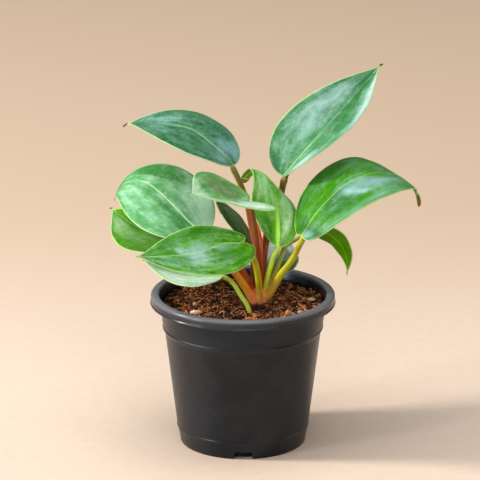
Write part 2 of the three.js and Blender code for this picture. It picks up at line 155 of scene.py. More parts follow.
def bump(tree, height, strength, distance):
    inputs = {"Height": height, "Strength": strength, "Distance": distance * mm}
    return addNode(tree, "ShaderNodeBump", inputs)[0]


def attribute(tree, name):
    return addNode(tree, "ShaderNodeAttribute", attribute_name=name)["Fac"]


def objectSpot(tree):
    return addNode(tree, "ShaderNodeTexCoord")["Object"]


def drawnOut(tree, share):
    return addNode(tree, "ShaderNodeMapping", {"Vector": objectSpot(tree), "Scale": (1.0, 1.0, share)})[0]


def axisPlace(tree, axis):
    return addNode(tree, "ShaderNodeSeparateXYZ", {0: objectSpot(tree)})[axis]


def combined(tree, x, y, z):
    return addNode(tree, "ShaderNodeCombineXYZ", {0: x, 1: y, 2: z})[0]


def newMaterial(name):
    material = bpy.data.materials.new(name)
    material.use_nodes = True
    return material, material.node_tree, material.node_tree.nodes["Principled BSDF"]


def newGroup(name, inputs, outputs):
    group = bpy.data.node_groups.new(name, "ShaderNodeTree")
    for label, value in inputs.items():
        kind = "NodeSocketVector" if value is None else "NodeSocketFloat"
        socket = group.interface.new_socket(name=label, in_out="INPUT", socket_type=kind)
        if value is not None:
            socket.default_value = value
    for label in outputs:
        group.interface.new_socket(name=label, in_out="OUTPUT", socket_type="NodeSocketFloat")
    return group, group.nodes.new("NodeGroupInput").outputs, group.nodes.new("NodeGroupOutput")


# blotches: soft patches, small flecks and fine grain, for every surface that isn't one even colour
def makeBlotches():
    inputs = {"Vector": None, "Patch Size": 14.0, "Fleck Size": 1.2, "Fleck Share": 0.3}
    group, given, result = newGroup("blotches", inputs, ["Patches", "Flecks", "Grain"])
    patchScale = calc(group, "DIVIDE", 1000.0, given["Patch Size"])
    fleckScale = calc(group, "DIVIDE", 1000.0, given["Fleck Size"])
    patches = cloud(group, given["Vector"], patchScale, 4.0, 0.6)
    flecks = cloud(group, given["Vector"], fleckScale, 2.0, 0.5)
    edge = weighed(group, (given["Fleck Share"], -0.5), start=0.86)
    fill(group, result, {
        "Patches": fade(group, patches, 0.36, 0.64),
        "Flecks": fade(group, flecks, edge, calc(group, "ADD", edge, 0.08)),
        "Grain": cloud(group, given["Vector"], times(group, fleckScale, 2.6), 3.0, 0.7)})
    return group


# The sizes of patches and flecks in millimetres, and the flecks' share.
def placeBlotches(tree, patchSize, fleckSize, fleckShare):
    inputs = {"Vector": objectSpot(tree), "Patch Size": patchSize, "Fleck Size": fleckSize,
              "Fleck Share": fleckShare}
    return addNode(tree, "ShaderNodeGroup", inputs, node_tree=blotches)


# leafLines: the midrib, the pale margin, the side veins, the streaks between them and the lengthwise strokes
def makeLeafLines():
    inputs = {"Along": 0.0, "Across": 0.0, "Rib": 0.0, "Edge": 0.0, "Rib Width": 1.0, "Edge Width": 0.7,
              "Side Veins": 11.0, "Seed": 0.0}
    outputs = ["Midrib", "Margin", "Side Vein", "Streaks", "Strokes"]
    group, given, result = newGroup("leafLines", inputs, outputs)
    along, across, edgeWidth, seed = [given[label] for label in ("Along", "Across", "Edge Width", "Seed")]
    ribWidth = times(group, given["Rib Width"], fade(group, along, 0.0, 1.05, 1.0, 0.3))
    side = calc(group, "ABSOLUTE", across)
    wobble = cloud(group, combined(group, along, across, seed), 3.0, 1.0)
    bent = weighed(group, (wobble, 0.05), start=along)
    cell = calc(group, "FRACT", times(group, bent, given["Side Veins"]))
    offLine = calc(group, "ABSOLUTE", calc(group, "SUBTRACT", cell, 0.5))
    reach = times(group, fade(group, side, 0.55, 0.95, 1.0, 0.0), fade(group, along, 0.75, 0.95, 1.0, 0.0))
    fine = combined(group, times(group, along, 70.0), times(group, side, 2.6), seed)
    broad = combined(group, times(group, along, 7.0), times(group, across, 5.0), times(group, seed, 3.7))
    fill(group, result, {
        "Midrib": fade(group, given["Rib"], times(group, ribWidth, 0.45), ribWidth, 1.0, 0.0),
        "Margin": fade(group, given["Edge"], times(group, edgeWidth, 0.35), edgeWidth, 1.0, 0.0),
        "Side Vein": times(group, fade(group, offLine, 0.0, 0.07, 1.0, 0.0), reach),
        "Streaks": fade(group, cloud(group, fine, 1.0, 3.0, 0.55), 0.3, 0.7),
        "Strokes": cloud(group, broad, 1.0, 6.0, 0.62)})
    return group


# mesh helpers

# A flat sheet whose x runs across (-0.5 to 0.5) and whose y runs along (-0.5 to 0.5).
def newSheet(across, along):
    bm = bmesh.new()
    bm.loops.layers.uv.new("UVMap")
    bmesh.ops.create_grid(bm, x_segments=across, y_segments=along, size=0.5, calc_uvs=True)
    return bm


def mergeAndTurnOut(bm, reach):
    bmesh.ops.remove_doubles(bm, verts=bm.verts, dist=reach)
    bmesh.ops.recalc_face_normals(bm, faces=bm.faces)


def capAndTurnOut(bm, rims):
    bmesh.ops.holes_fill(bm, edges=rims)
    bmesh.ops.recalc_face_normals(bm, faces=bm.faces)


# A closed body turned round the z axis. Each corner of its profile is (radius, height, rounding).
def turnedBody(profile, roundingSteps, steps):
    bm = bmesh.new()
    verts = [bm.verts.new((radius, 0, z)) for radius, z, _ in profile]
    for a, b in zip(verts, verts[1:]):
        bm.edges.new((a, b))
    for vert, (_, _, rounding) in zip(verts, profile):
        if rounding:
            bmesh.ops.bevel(bm, geom=[vert], offset=rounding, segments=roundingSteps, profile=0.5,
                            affect="VERTICES", material=-1)
    bmesh.ops.spin(bm, geom=bm.verts[:] + bm.edges[:], cent=(0, 0, 0), axis=(0, 0, 1), angle=2 * math.pi,
                   steps=steps, use_merge=True)
    mergeAndTurnOut(bm, 1e-3)
    return bm


def smooth(mesh, sharpAngle):
    mesh.shade_smooth()
    if sharpAngle:
        mesh.set_sharp_from_angle(angle=math.radians(sharpAngle))


def newObject(name, bm):
    bmesh.ops.scale(bm, vec=(mm, mm, mm), verts=bm.verts)
    mesh = bpy.data.meshes.new(name)
    bm.to_mesh(mesh)
    bm.free()
    made = bpy.data.objects.new(name, mesh)
    bpy.context.scene.collection.objects.link(made)
    return made


def addPiece(name, bm, materials, replaced, sharpAngle=None):
    piece = newObject(name, bm)
    smooth(piece.data, sharpAngle)
    for material in materials:
        piece.data.materials.append(material)
    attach(piece, "root")
    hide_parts(*replaced)
    return piece


def applyModifiers(piece):
    graph = bpy.context.evaluated_depsgraph_get()
    mesh = bpy.data.meshes.new_from_object(piece.evaluated_get(graph))
    piece.modifiers.clear()
    piece.data = mesh


# A smooth curve through points, as a list of evenly spaced places, and its length.
def smoothPath(points, count):
    points = [Vector(point) for point in points]
    ends = [points[0] * 2 - points[1]] + points + [points[-1] * 2 - points[-2]]
    fine = []
    for i in range(1, len(ends) - 2):
        a, b, c, d = ends[i - 1:i + 3]
        ta, tb, tc = [max((q - p).length, 1e-6) ** 0.5 for p, q in ((a, b), (b, c), (c, d))]
        slopeB = ((b - a) / ta - (c - a) / (ta + tb) + (c - b) / tb) * tb
        slopeC = ((c - b) / tb - (d - b) / (tb + tc) + (d - c) / tc) * tb
        for step in range(16):
            t = step / 16
            fine.append(b * (2 * t ** 3 - 3 * t ** 2 + 1) + slopeB * (t ** 3 - 2 * t ** 2 + t)
                        + c * (3 * t ** 2 - 2 * t ** 3) + slopeC * (t ** 3 - t ** 2))
    fine.append(points[-1])
    travelled = [0.0]
    for p, q in zip(fine, fine[1:]):
        travelled.append(travelled[-1] + (q - p).length)
    spots = []
    k = 0
    for i in range(count + 1):
        goal = travelled[-1] * i / count
        while k < len(fine) - 2 and travelled[k + 1] < goal:
            k += 1
        share = (goal - travelled[k]) / max(travelled[k + 1] - travelled[k], 1e-9)
        spots.append(fine[k].lerp(fine[k + 1], share))
    return spots, travelled[-1]


# leaf blades
# size: length, width; outline: lobe, widest place, fullness; tail: length, curl; heading: at the joint, sweep
# rise: at the joint, arch, the arch's power; roll: at the joint, at the tip; fold: left, right, their curl

leaves = {
    "upper_left": {
        "joint": (-6, 14, 189.5), "size": (85.5, 46), "outline": (0, 0.35, 1.9), "tail": (4.5, 40),
        "heading": (151, 6), "rise": (47, 60, 0.8), "roll": (2, 30), "fold": (7, 8, -9)},
    "upper_right": {
        "joint": (27.5, 24, 179), "size": (109.5, 58.5), "outline": (0, 0.3, 1.8), "tail": (3.5, 25),
        "heading": (41, 6), "rise": (36, 7, 1.25), "roll": (13, -25), "fold": (22, 14, 5)},
    "left": {
        "joint": (-27.5, 2, 145), "size": (96, 59.5), "outline": (1, 0.3, 1.95), "tail": (0.4, 0),
        "heading": (145, -15), "rise": (33, 108, 2.6), "roll": (-1, 33), "fold": (-13, 9, 2)},
    "left_under": {
        "joint": (-21, 12, 136.5), "size": (86, 53), "outline": (3, 0.5, 2.1), "tail": (3, 60),
        "heading": (158, -27), "rise": (-7, -30, 1.4), "roll": (11, 37), "fold": (10, 2, 7)},
    "centre_left": {
        "joint": (4.5, -7.5, 171.5), "size": (75.5, 55.5), "outline": (9.5, 0.3, 2.3), "tail": (2, 0),
        "heading": (241, -5), "rise": (17, -2, 1.3), "roll": (8, 12), "fold": (5, 26, -4)},
    "front_left": {
        "joint": (0.5, -24, 147.5), "size": (81, 49), "outline": (6, 0.3, 1.85), "tail": (2, 0),
        "heading": (212, -3), "rise": (-3, -14, 1.55), "roll": (8, 21), "fold": (-17, 9, 10)},
    "centre": {
        "joint": (23.5, 0, 138.5), "size": (71, 34), "outline": (2.5, 0.4, 1.9), "tail": (3.5, 0),
        "heading": (81, 73), "rise": (80, 150, 2.8), "roll": (29, -44), "fold": (-7, -22, -25),
        "tipHalfWidth": 3.2},
    "back_left": {
        "joint": (5.5, 18, 131), "size": (56, 32.5), "outline": (1, 0.35, 1.75), "tail": (2, 0),
        "heading": (122, -9), "rise": (54, 70, 1.15), "roll": (-42, -23), "fold": (-6, -10, -9)},
    "right": {
        "joint": (39.5, -10, 148), "size": (109.5, 61.5), "outline": (3, 0.56, 2.3), "tail": (10.5, 25),
        "heading": (21, 12.6), "rise": (57, 119, 1.54), "roll": (-9, -3.5), "fold": (-0.5, -6.7, 1),
        "tipHalfWidth": 1.9, "tailTwist": 50},
    "right_under": {
        "joint": (42, 12, 143.5), "size": (49.5, 27.5), "outline": (0.5, 0.4, 1.55), "tail": (2, 0),
        "heading": (5, 7), "rise": (23, 122, 0.8), "roll": (33, 20), "fold": (-14, -5, 16)},
    "back_low": {
        "joint": (20.5, 14, 117), "size": (58, 35.5), "outline": (3, 0.35, 1.75), "tail": (2, 0),
        "heading": (85, 3), "rise": (25, 45, 1.3), "roll": (-9, -2), "fold": (-12, -19, -2)},
    "front_low": {
        "joint": (-14, -16, 122), "size": (56.5, 34.5), "outline": (1.5, 0.35, 1.8), "tail": (2, 0),
        "heading": (164, -10), "rise": (-8, -26, 1.3), "roll": (7, 2), "fold": (-3, 3, -1)},
}
bladeForm = {"columns": 48, "rows": 112, "crowding": 1.35, "edgeDraw": 1.25, "thickness": 1.25,
             "lamina": 0.42, "keelWidth": 1.1, "keelFade": 0.8, "topLift": 0.22, "groove": 0.5,
             "grooveWidth": 0.9, "grooveFade": 0.75, "quilt": 0.08, "sideVeins": 11, "wave": 0.5,
             "waveSize": 24, "dimple": 0.16, "dimpleSize": 7, "marginWave": 0.35, "marginBend": 0.45,
             "notchShare": 0.34, "tipHalfWidth": 0.55, "tipCup": 0.9}


# For a distance along the midrib: its point, and the along, side and up directions there.
def midribFrames(leaf):
    samples = 90
    length, (tail, tailCurl) = leaf["size"][0], leaf["tail"]
    heading, sweep = leaf["heading"]
    rise, arch, archPower = leaf["rise"]
    roll, tipRoll = leaf["roll"]
    total = length + tail
    step = total / samples

    def directionsAt(distance):
        share = min(distance / length, 1)
        past = max(distance - length, 0) / max(tail, 1)
        climb = math.radians(rise - arch * share ** archPower - tailCurl * past)
        turn = math.radians(heading + sweep * share)
        lean = math.radians(roll + (tipRoll - roll) * share + leaf.get("tailTwist", 0) * min(past, 1))
        level = Vector((math.sin(turn), -math.cos(turn), 0))
        ahead = Vector((math.cos(turn), math.sin(turn), 0))
        along = ahead * math.cos(climb) + Vector((0, 0, math.sin(climb)))
        over = level.cross(along)
        side = level * math.cos(lean) + over * math.sin(lean)
        up = over * math.cos(lean) - level * math.sin(lean)
        return along, side, up

    points = [Vector(leaf["joint"])]
    for i in range(samples):
        points.append(points[-1] + directionsAt((i + 0.5) * step)[0] * step)

    def frameAt(distance):
        clamped = min(max(distance, 0), total)
        place = min(int(clamped / step), samples - 1)
        along, side, up = directionsAt(clamped)
        point = points[place].lerp(points[place + 1], clamped / step - place)
        return point + along * (distance - clamped), along, side, up

    return frameAt


# The flat margin, from the joint (0) round the lobe and the widest place to the tip (1).
def marginPoint(leaf, place):
    length, width = leaf["size"]
    lobe, widestShare, fullness = leaf["outline"]
    widest = widestShare * length
    bend = bladeForm["marginBend"]
    if place < bend:
        angle = math.pi / 2 * place / bend
        across = math.sin(angle)
        notch = lobe * max(1 - across / bladeForm["notchShare"], 0) ** 2
        return across * width / 2, widest - (widest + lobe) * math.cos(angle) + notch
    share = ((place - bend) / (1 - bend)) ** 0.85
    across = max(1 - share ** fullness, 0) ** 1.15
    narrowest = leaf.get("tipHalfWidth", bladeForm["tipHalfWidth"])
    return max(across * width / 2, narrowest), widest + (length - widest) * share


# A point of the blade's middle surface and the direction that it faces.
def bladePoint(leaf, frameAt, across, along):
    point, _, side, up = frameAt(along)
    foldLeft, foldRight, curl = leaf["fold"]
    fold = foldRight if across > 0 else foldLeft
    share = 2 * abs(across) / leaf["size"][1]
    lean = math.radians(fold + curl * share / 2)
    edge = math.radians(fold + curl * share) * (1 if across > 0 else -1)
    point = point + side * across * math.cos(lean) + up * abs(across) * math.sin(lean)
    return point, up * math.cos(edge) - side * math.sin(edge)


# How far each flat place lies from the margin, in millimetres.
def marginDistances(leaf, places):
    half = np.array([marginPoint(leaf, i / 90) for i in range(91)])
    line = np.concatenate([half * (-1, 1), half[::-1]])
    a, b = line[:-1], line[1:]
    run = b - a
    toPlace = places[:, None, :] - a[None]
    share = np.clip((toPlace * run).sum(2) / np.maximum((run * run).sum(1), 1e-9), 0, 1)
    return np.linalg.norm(toPlace - share[..., None] * run, axis=2).min(1)


# The strength of soft patches at a place: each is (place, share, its reach in both, strength).
def patchStrength(patches, place, share):
    total = 0
    for spotPlace, spotShare, reachPlace, reachShare, strength in patches:
        away = ((place - spotPlace) / reachPlace) ** 2 + ((share - spotShare) / reachShare) ** 2
        total += strength * math.exp(-1.1 * away)
    return min(total, 1)


def bladeSheet(leaf, look, seed):
    form = bladeForm
    length, tail = leaf["size"][0], leaf["tail"][0]
    tailRows = max(5, round(tail * 2))
    rows = form["rows"] + tailRows
    bm = newSheet(form["columns"], rows)
    kinds = ("along", "across", "rib", "edge", "tail", *patchSizes)
    layers = {key: bm.verts.layers.float.new(key) for key in kinds}
    frameAt = midribFrames(leaf)
    bend, bendPlace, bendReach = look.get("ribBend", (0, 0.5, 1))
    flat = []
    for vert in bm.verts:
        row = (vert.co.y + 0.5) * rows
        share = math.copysign(abs(2 * vert.co.x) ** form["crowding"], vert.co.x)
        place = min(row / form["rows"], 1)
        tailShare = max(row - form["rows"], 0) / tailRows
        edgeAcross, edgeAlong = marginPoint(leaf, place)
        edgeAcross *= math.sqrt(max(1 - tailShare, 0))
        start = length * place ** form["crowding"] + tail * tailShare
        end = edgeAlong + tail * tailShare
        across, along = share * edgeAcross, start + (end - start) * abs(share) ** form["edgeDraw"]
        point, facing = bladePoint(leaf, frameAt, across, along)
        calm = min(1, 4 * place) * min(1, 5 * (1 - place))  # the relief dies out at both ends
        ribSpan = abs(across - bend * math.exp(-((place - bendPlace) / bendReach) ** 2) * edgeAcross)
        onRib = math.exp(-(ribSpan / form["grooveWidth"]) ** 2)
        lift = form["topLift"] - form["groove"] * onRib * (1 - form["grooveFade"] * place) * (1 - tailShare)
        pillow = abs(math.sin(math.pi * place * form["sideVeins"])) ** 0.7 - 0.6
        lift += form["quilt"] * pillow * calm * (1 - onRib) * (1 - abs(share) ** 2)
        lift += form["wave"] * noise.noise(point / form["waveSize"] + Vector((seed, 0, 0))) * calm
        lift += form["dimple"] * noise.noise(point / form["dimpleSize"] - Vector((seed, 0, 0))) * calm
        ripple = noise.noise(Vector((place * 6, math.copysign(3, share), seed)))
        lift += 2 * form["marginWave"] * ripple * calm * abs(share) ** 3
        lift += form["tipCup"] * share * share * min(1, tail / 10) * max(0, place * 8 - 7)
        vert.co = point + facing * lift
        flat.append((across, along))
        for kind, value in zip(("along", "across", "rib", "tail"), (place, share, ribSpan, tailShare)):
            vert[layers[kind]] = value
        for kind in patchSizes:
            vert[layers[kind]] = patchStrength(look.get(kind, ())[1:], place, share)
    for vert, span in zip(bm.verts, marginDistances(leaf, np.array(flat))):
        vert[layers["edge"]] = 0 if vert.is_boundary else span
    bmesh.ops.remove_doubles(bm, verts=bm.verts, dist=1e-4)
    return bm


def addBlade(name, leaf, look, seed):
    form = bladeForm
    bm = bladeSheet(leaf, look, seed)
    ribs = [(vert[bm.verts.layers.float["rib"]], vert[bm.verts.layers.float["along"]]) for vert in bm.verts]
    materials = [leafTopMaterial(name, look, seed), leafUnderMaterial(name, look, seed)]
    piece = addPiece("blade_" + name, bm, materials, ["leaf_" + name])
    keel = piece.vertex_groups.new(name="keel")
    thin = form["lamina"] / form["thickness"]
    for index, (rib, along) in enumerate(ribs):
        stout = math.exp(-(rib / form["keelWidth"]) ** 2) * (1 - form["keelFade"] * along)
        keel.add([index], thin + (1 - thin) * stout, "REPLACE")
    wall = piece.modifiers.new("wall", "SOLIDIFY")
    wall.thickness = form["thickness"] * mm
    wall.offset = -1
    wall.vertex_group = "keel"
    wall.thickness_vertex_group = 0
    wall.material_offset = 1


# leaf surface
# rib: its width and how far it shows; bloom, vivid, dusk and pale: a tone, and then the patches that have it.
# The bloom patches are waxy bloom with a painted sheen on it, the pale ones painted sheen and painted light
# on parts in shade, and the vivid and dusk ones the blade's deep and grey-green tones, which in places are
# painted shade.

palerTip, brownTip, oliveTip = (0.42, 0.56, 0.16), (0.14, 0.09, 0.03), (0.20, 0.15, 0.02)
leafLooks = {
    "upper_left": {
        "slot": "leaf", "deep": (0.008, 0.070, 0.024), "light": (0.07, 0.23, 0.11), "rib": (1.1, 0.4),
        "ribEnd": 0.85, "ribBend": (0.16, 0.58, 0.16), "tipTone": brownTip,
        "bloomAndSheen": ((0.22, 0.42, 0.40), (0.72, 0.45, 0.12, 0.35, 0.55), (0.87, 0.5, 0.08, 0.5, 0.5),
                  (0.15, 0.75, 0.14, 0.3, 1.0), (0.78, -0.35, 0.12, 0.3, 0.4), (0.25, 0.3, 0.14, 0.5, 0.8),
                  (0.2, -0.5, 0.12, 0.4, 0.6)),
        "vivid": ((0.012, 0.125, 0.0), (0.3, -0.55, 0.15, 0.35, 0.35), (0.5, 0.85, 0.2, 0.2, 0.3)),
        "dusk": ((0.10, 0.11, 0.07), (0.84, 0.1, 0.08, 0.12, 0.7), (0.6, -0.6, 0.2, 0.12, 0.3))},
    "upper_right": {
        "slot": "leaf", "deep": (0.02, 0.13, 0.03), "light": (0.08, 0.29, 0.12), "rib": (1.5, 0.6),
        "ribEnd": 0.62, "tipTone": brownTip,
        "bloomAndSheen": ((0.35, 0.53, 0.51), (0.45, -0.5, 0.2, 0.3, 0.45), (0.7, -0.55, 0.2, 0.35, 0.75),
                  (0.2, -0.4, 0.12, 0.25, 0.3), (0.8, 0.85, 0.15, 0.25, 1.0), (0.6, 0.9, 0.12, 0.15, 0.7),
                  (0.22, 0.7, 0.14, 0.4, 0.9)),
        # The vivid patch beside the midrib on the right half is painted shade, and the pale patches near that
        # margin are painted sheen.
        "vivid": ((0.015, 0.11, 0.012), (0.2, -0.95, 0.16, 0.2, 1.0), (0.5, -1.0, 0.15, 0.15, 0.6),
                  (0.7, 0.22, 0.18, 0.24, 1.0), (0.5, 0.4, 0.14, 0.25, 0.6), (0.86, 0.1, 0.1, 0.25, 0.8)),
        "pale": ((0.46, 0.62, 0.54), (0.82, 0.85, 0.16, 0.2, 0.9), (0.2, 0.6, 0.12, 0.25, 0.9))},
    "left": {
        "slot": "leaf", "deep": (0.05, 0.24, 0.05), "light": (0.13, 0.40, 0.14), "rib": (1.3, 0.7),
        "ribEnd": 0.85, "ribTone": (0.55, 0.82, 0.52), "ribBend": (0.3, 0.92, 0.28), "tipTone": palerTip,
        "bloomAndSheen": ((0.45, 0.75, 0.57), (0.3, 0.75, 0.16, 0.45, 1.0), (0.74, -0.5, 0.14, 0.4, 0.55),
                  (0.52, -0.6, 0.14, 0.35, 0.35), (0.36, 0.3, 0.14, 0.2, 0.4), (0.82, 0.05, 0.06, 0.3, 0.2),
                  (0.3, -0.65, 0.1, 0.3, 0.2), (0.68, 0.3, 0.06, 0.2, 0.5), (0.1, 0.6, 0.14, 0.5, 1.0),
                  (0.4, 0.1, 0.2, 0.2, 0.25)),
        # The narrow vivid patch just beside the midrib is painted shade along the midrib.
        "vivid": ((0.010, 0.13, 0.002), (0.55, 0.8, 0.12, 0.32, 1.3), (0.68, 0.8, 0.14, 0.35, 1.4),
                  (0.94, 0.6, 0.06, 0.5, 1.0), (0.88, -0.95, 0.1, 0.2, 0.9), (0.35, -0.35, 0.12, 0.25, 0.4),
                  (0.5, -0.13, 0.18, 0.1, 0.9), (0.22, -0.3, 0.08, 0.3, 0.6)),
        # The pale patch lightens the lobe by the joint: painted light where the blade lies in shade.
        "pale": ((0.62, 0.98, 0.74), (0.27, 0.8, 0.2, 0.4, 1.6))},
    "left_under": {
        "slot": "young_leaf", "deep": (0.022, 0.16, 0.002), "light": (0.15, 0.42, 0.01), "rib": (1.2, 0.3),
        "tipTone": brownTip,
        "bloomAndSheen": ((0.38, 0.62, 0.34), (0.86, -0.55, 0.09, 0.4, 0.95), (0.66, -0.5, 0.09, 0.3, 0.6)),
        # The vivid tone here is near black: its patches are painted shadow where the leaf above covers this
        # one.
        "vivid": ((0.003, 0.04, 0.0), (0.55, 0.15, 0.12, 0.35, 1.3), (0.76, 0.15, 0.09, 0.35, 0.8),
                  (0.42, -0.7, 0.1, 0.3, 0.5))},
    "centre_left": {
        "slot": "shade_leaf", "deep": (0.06, 0.26, 0.03), "light": (0.24, 0.60, 0.14), "rib": (1.0, 0.4),
        "tipTone": palerTip,
        "bloomAndSheen": ((0.58, 0.88, 0.60), (0.9, 0.6, 0.12, 0.6, 0.9), (0.5, -0.6, 0.3, 0.4, 0.8),
                  (0.2, -0.5, 0.2, 0.5, 1.0), (0.1, 0.3, 0.1, 0.3, 0.3), (0.78, 0.85, 0.12, 0.2, 0.6),
                  (0.88, -0.2, 0.1, 0.8, 0.9)),
        "vivid": ((0.03, 0.24, 0.01), (0.74, 0.5, 0.08, 0.35, 1.0), (0.2, 0.8, 0.12, 0.25, 0.8),
                  (0.6, 1.0, 0.2, 0.15, 0.8)),
        # The dusk patches paint shade on the dark grey-green far half, and the pale ones a painted sheen over
        # the near half.
        "dusk": ((0.12, 0.15, 0.06), (0.45, 0.45, 0.2, 0.35, 1.6), (0.3, 0.2, 0.12, 0.3, 0.9)),
        "pale": ((0.80, 1.0, 0.84), (0.45, -0.6, 0.3, 0.4, 1.0), (0.93, 0.2, 0.07, 0.7, 0.5))},
    "front_left": {
        "slot": "young_leaf", "deep": (0.010, 0.14, 0.0), "light": (0.18, 0.54, 0.015), "rib": (1.4, 0.5),
        "ribTone": (0.40, 0.76, 0.34), "ribBend": (0.2, 0.26, 0.16), "tipTone": palerTip,
        "bloomAndSheen": ((0.42, 0.68, 0.66), (0.56, -0.15, 0.1, 0.28, 0.8), (0.5, 0.15, 0.12, 0.2, 0.8),
                  (0.72, -0.45, 0.1, 0.3, 0.45), (0.4, -0.55, 0.08, 0.2, 0.2),
                  (0.25, 0.1, 0.12, 0.12, 0.45), (0.86, -0.5, 0.08, 0.4, 0.35)),
        "vivid": ((0.045, 0.26, 0.0), (0.8, 0.4, 0.14, 0.5, 1.0), (0.28, -0.4, 0.12, 0.4, 1.0),
                  (0.3, 0.8, 0.18, 0.3, 0.6), (0.6, 0.8, 0.12, 0.3, 0.9), (0.72, -0.1, 0.08, 0.2, 0.8),
                  (0.08, -0.3, 0.12, 0.5, 0.9)),
        "dusk": ((0.008, 0.09, 0.0), (0.74, 0.6, 0.08, 0.35, 0.9), (0.48, 0.75, 0.1, 0.25, 0.7),
                 (0.33, -0.25, 0.07, 0.3, 0.7), (0.62, -0.7, 0.06, 0.2, 0.5)),
        "pale": ((0.62, 0.85, 0.92), (0.66, 0.2, 0.06, 0.2, 0.6), (0.55, -0.35, 0.06, 0.2, 0.5))},
    "centre": {
        "slot": "young_leaf", "deep": (0.03, 0.22, 0.0), "light": (0.18, 0.50, 0.03),
        "underTone": (0.24, 0.30, 0.03), "gloss": 0.1, "rib": (1.9, 0.8), "ribEnd": 0.62,
        "ribTone": (0.42, 0.76, 0.10), "tipTone": (0.24, 0.24, 0.02),
        "bloomAndSheen": ((0.40, 0.72, 0.34), (0.65, -0.45, 0.15, 0.4, 1.1), (0.28, 0.35, 0.16, 0.2, 0.7),
                  (0.45, 0.5, 0.12, 0.3, 1.2), (0.8, 0, 0.1, 0.5, 0.3)),
        "vivid": ((0.005, 0.10, 0.0), (0.26, -0.6, 0.16, 0.45, 1.3), (0.35, 0.95, 0.1, 0.2, 1.0),
                  (0.08, 0.3, 0.08, 0.5, 0.9)),
        "pale": ((0.75, 0.95, 0.72), (0.16, 0.3, 0.08, 0.1, 0.4), (0.26, 0.5, 0.08, 0.12, 0.8))},
    "back_left": {
        "slot": "shade_leaf", "deep": (0.016, 0.060, 0.006), "light": (0.055, 0.13, 0.02), "gloss": 0.1,
        "coat": 0, "roughness": (0.55, 0.7), "rib": (1.0, 0.3), "tipTone": palerTip,
        "bloomAndSheen": ((0.20, 0.30, 0.18), (0.6, -0.3, 0.3, 0.5, 0.4)),
        "dusk": ((0.12, 0.10, 0.05), (0.5, 0.3, 0.3, 0.4, 0.5))},
    "right": {
        "slot": "leaf", "deep": (0.022, 0.16, 0.0), "light": (0.085, 0.31, 0.012), "gloss": 0.08,
        "rib": (1.2, 0.3), "tipTone": oliveTip,
        "bloomAndSheen": ((0.21, 0.37, 0.38), (0.6, 0.3, 0.08, 0.28, 1.0), (0.52, 0.35, 0.09, 0.22, 0.7),
                  (0.71, 0.5, 0.09, 0.3, 0.6), (0.84, 0.3, 0.08, 0.5, 0.5), (0.1, 0.5, 0.07, 0.3, 0.8),
                  (0.4, 0.85, 0.2, 0.15, 0.5), (0.5, 0, 0.08, 0.12, 0.5)),
        "vivid": ((0.036, 0.20, 0.0), (0.3, -0.7, 0.18, 0.5, 1.0), (0.55, -0.75, 0.15, 0.35, 0.5),
                  (0.78, -0.4, 0.12, 0.4, 0.9), (0.3, 0.3, 0.1, 0.2, 0.5), (0.14, -0.5, 0.1, 0.5, 0.8),
                  (0.4, -0.15, 0.1, 0.15, 0.6)),
        "dusk": ((0.025, 0.12, 0.025), (0.36, 0.4, 0.12, 0.35, 1.3), (0.42, 0.15, 0.08, 0.2, 0.6)),
        "pale": ((0.36, 0.58, 0.58), (0.47, 0.35, 0.05, 0.25, 0.9), (0.08, 0.4, 0.06, 0.4, 0.7))},
    "right_under": {
        "slot": "young_leaf", "deep": (0.03, 0.20, 0.0), "light": (0.13, 0.40, 0.0),
        "underTone": (0.10, 0.30, 0.0), "gloss": 0.05, "coat": 0, "rib": (1.4, 0.2),
        "ribTone": (0.18, 0.48, 0.01), "tipTone": palerTip,
        "vivid": ((0.012, 0.125, 0.0), (0.15, 0, 0.2, 1, 0.8))},
    "back_low": {
        "slot": "shade_leaf", "deep": (0.015, 0.08, 0.015), "light": (0.07, 0.22, 0.08), "rib": (1.0, 0.4),
        "tipTone": palerTip,
        "bloomAndSheen": ((0.62, 0.76, 0.76), (0.55, 0.1, 0.22, 0.6, 1.0)),
        # The pale patches are a whitish-blue painted sheen.
        "pale": ((0.92, 0.97, 1.0), (0.47, -0.6, 0.24, 0.6, 2.2), (0.72, 0.6, 0.16, 0.5, 2.2))},
    "front_low": {
        "slot": "leaf", "deep": (0.22, 0.44, 0.21), "light": (0.42, 0.68, 0.43), "rib": (1.2, 0.5),
        "tipTone": palerTip,
        "bloomAndSheen": ((0.70, 0.84, 0.80), (0.5, -0.5, 0.3, 0.4, 0.5), (0.2, -0.5, 0.15, 0.5, 0.6)),
        "dusk": ((0.50, 0.48, 0.42), (0.62, -0.6, 0.08, 0.35, 0.8), (0.3, -0.7, 0.08, 0.25, 0.6)),
        "pale": ((0.80, 0.84, 0.82), (0.5, -0.6, 0.12, 0.3, 0.8), (0.75, -0.5, 0.08, 0.3, 0.6))},
}
patchSizes = {"dusk": 15, "vivid": 11, "bloomAndSheen": 9, "pale": 7}
leafFinish = {"ribTone": (0.38, 0.66, 0.24), "marginTone": (0.58, 0.76, 0.32), "gloss": 0.13,
              "patches": 0.2, "streaks": 0.18, "strokes": 0.46, "mottle": (-0.06, 0.24), "mottleSize": 1.9,
              "flecks": 0.2, "uneven": 1.05, "cover": 0.85, "roughness": (0.30, 0.44), "coat": 0.02,
              "coatRoughness": 0.2, "edgeWidth": 0.75, "sideVeins": 0.08, "margin": 0.6, "tip": (0.02, 0.3)}
underFinish = {"tone": (0.16, 0.36, 0.10), "roughness": 0.5, "patches": 0.5, "streaks": 0.3, "ribWidth": 1.9,
               "midrib": 0.8, "edgeWidth": 0.7, "sideVeins": 0.3, "margin": 0.7, "tip": (0.05, 0.4)}


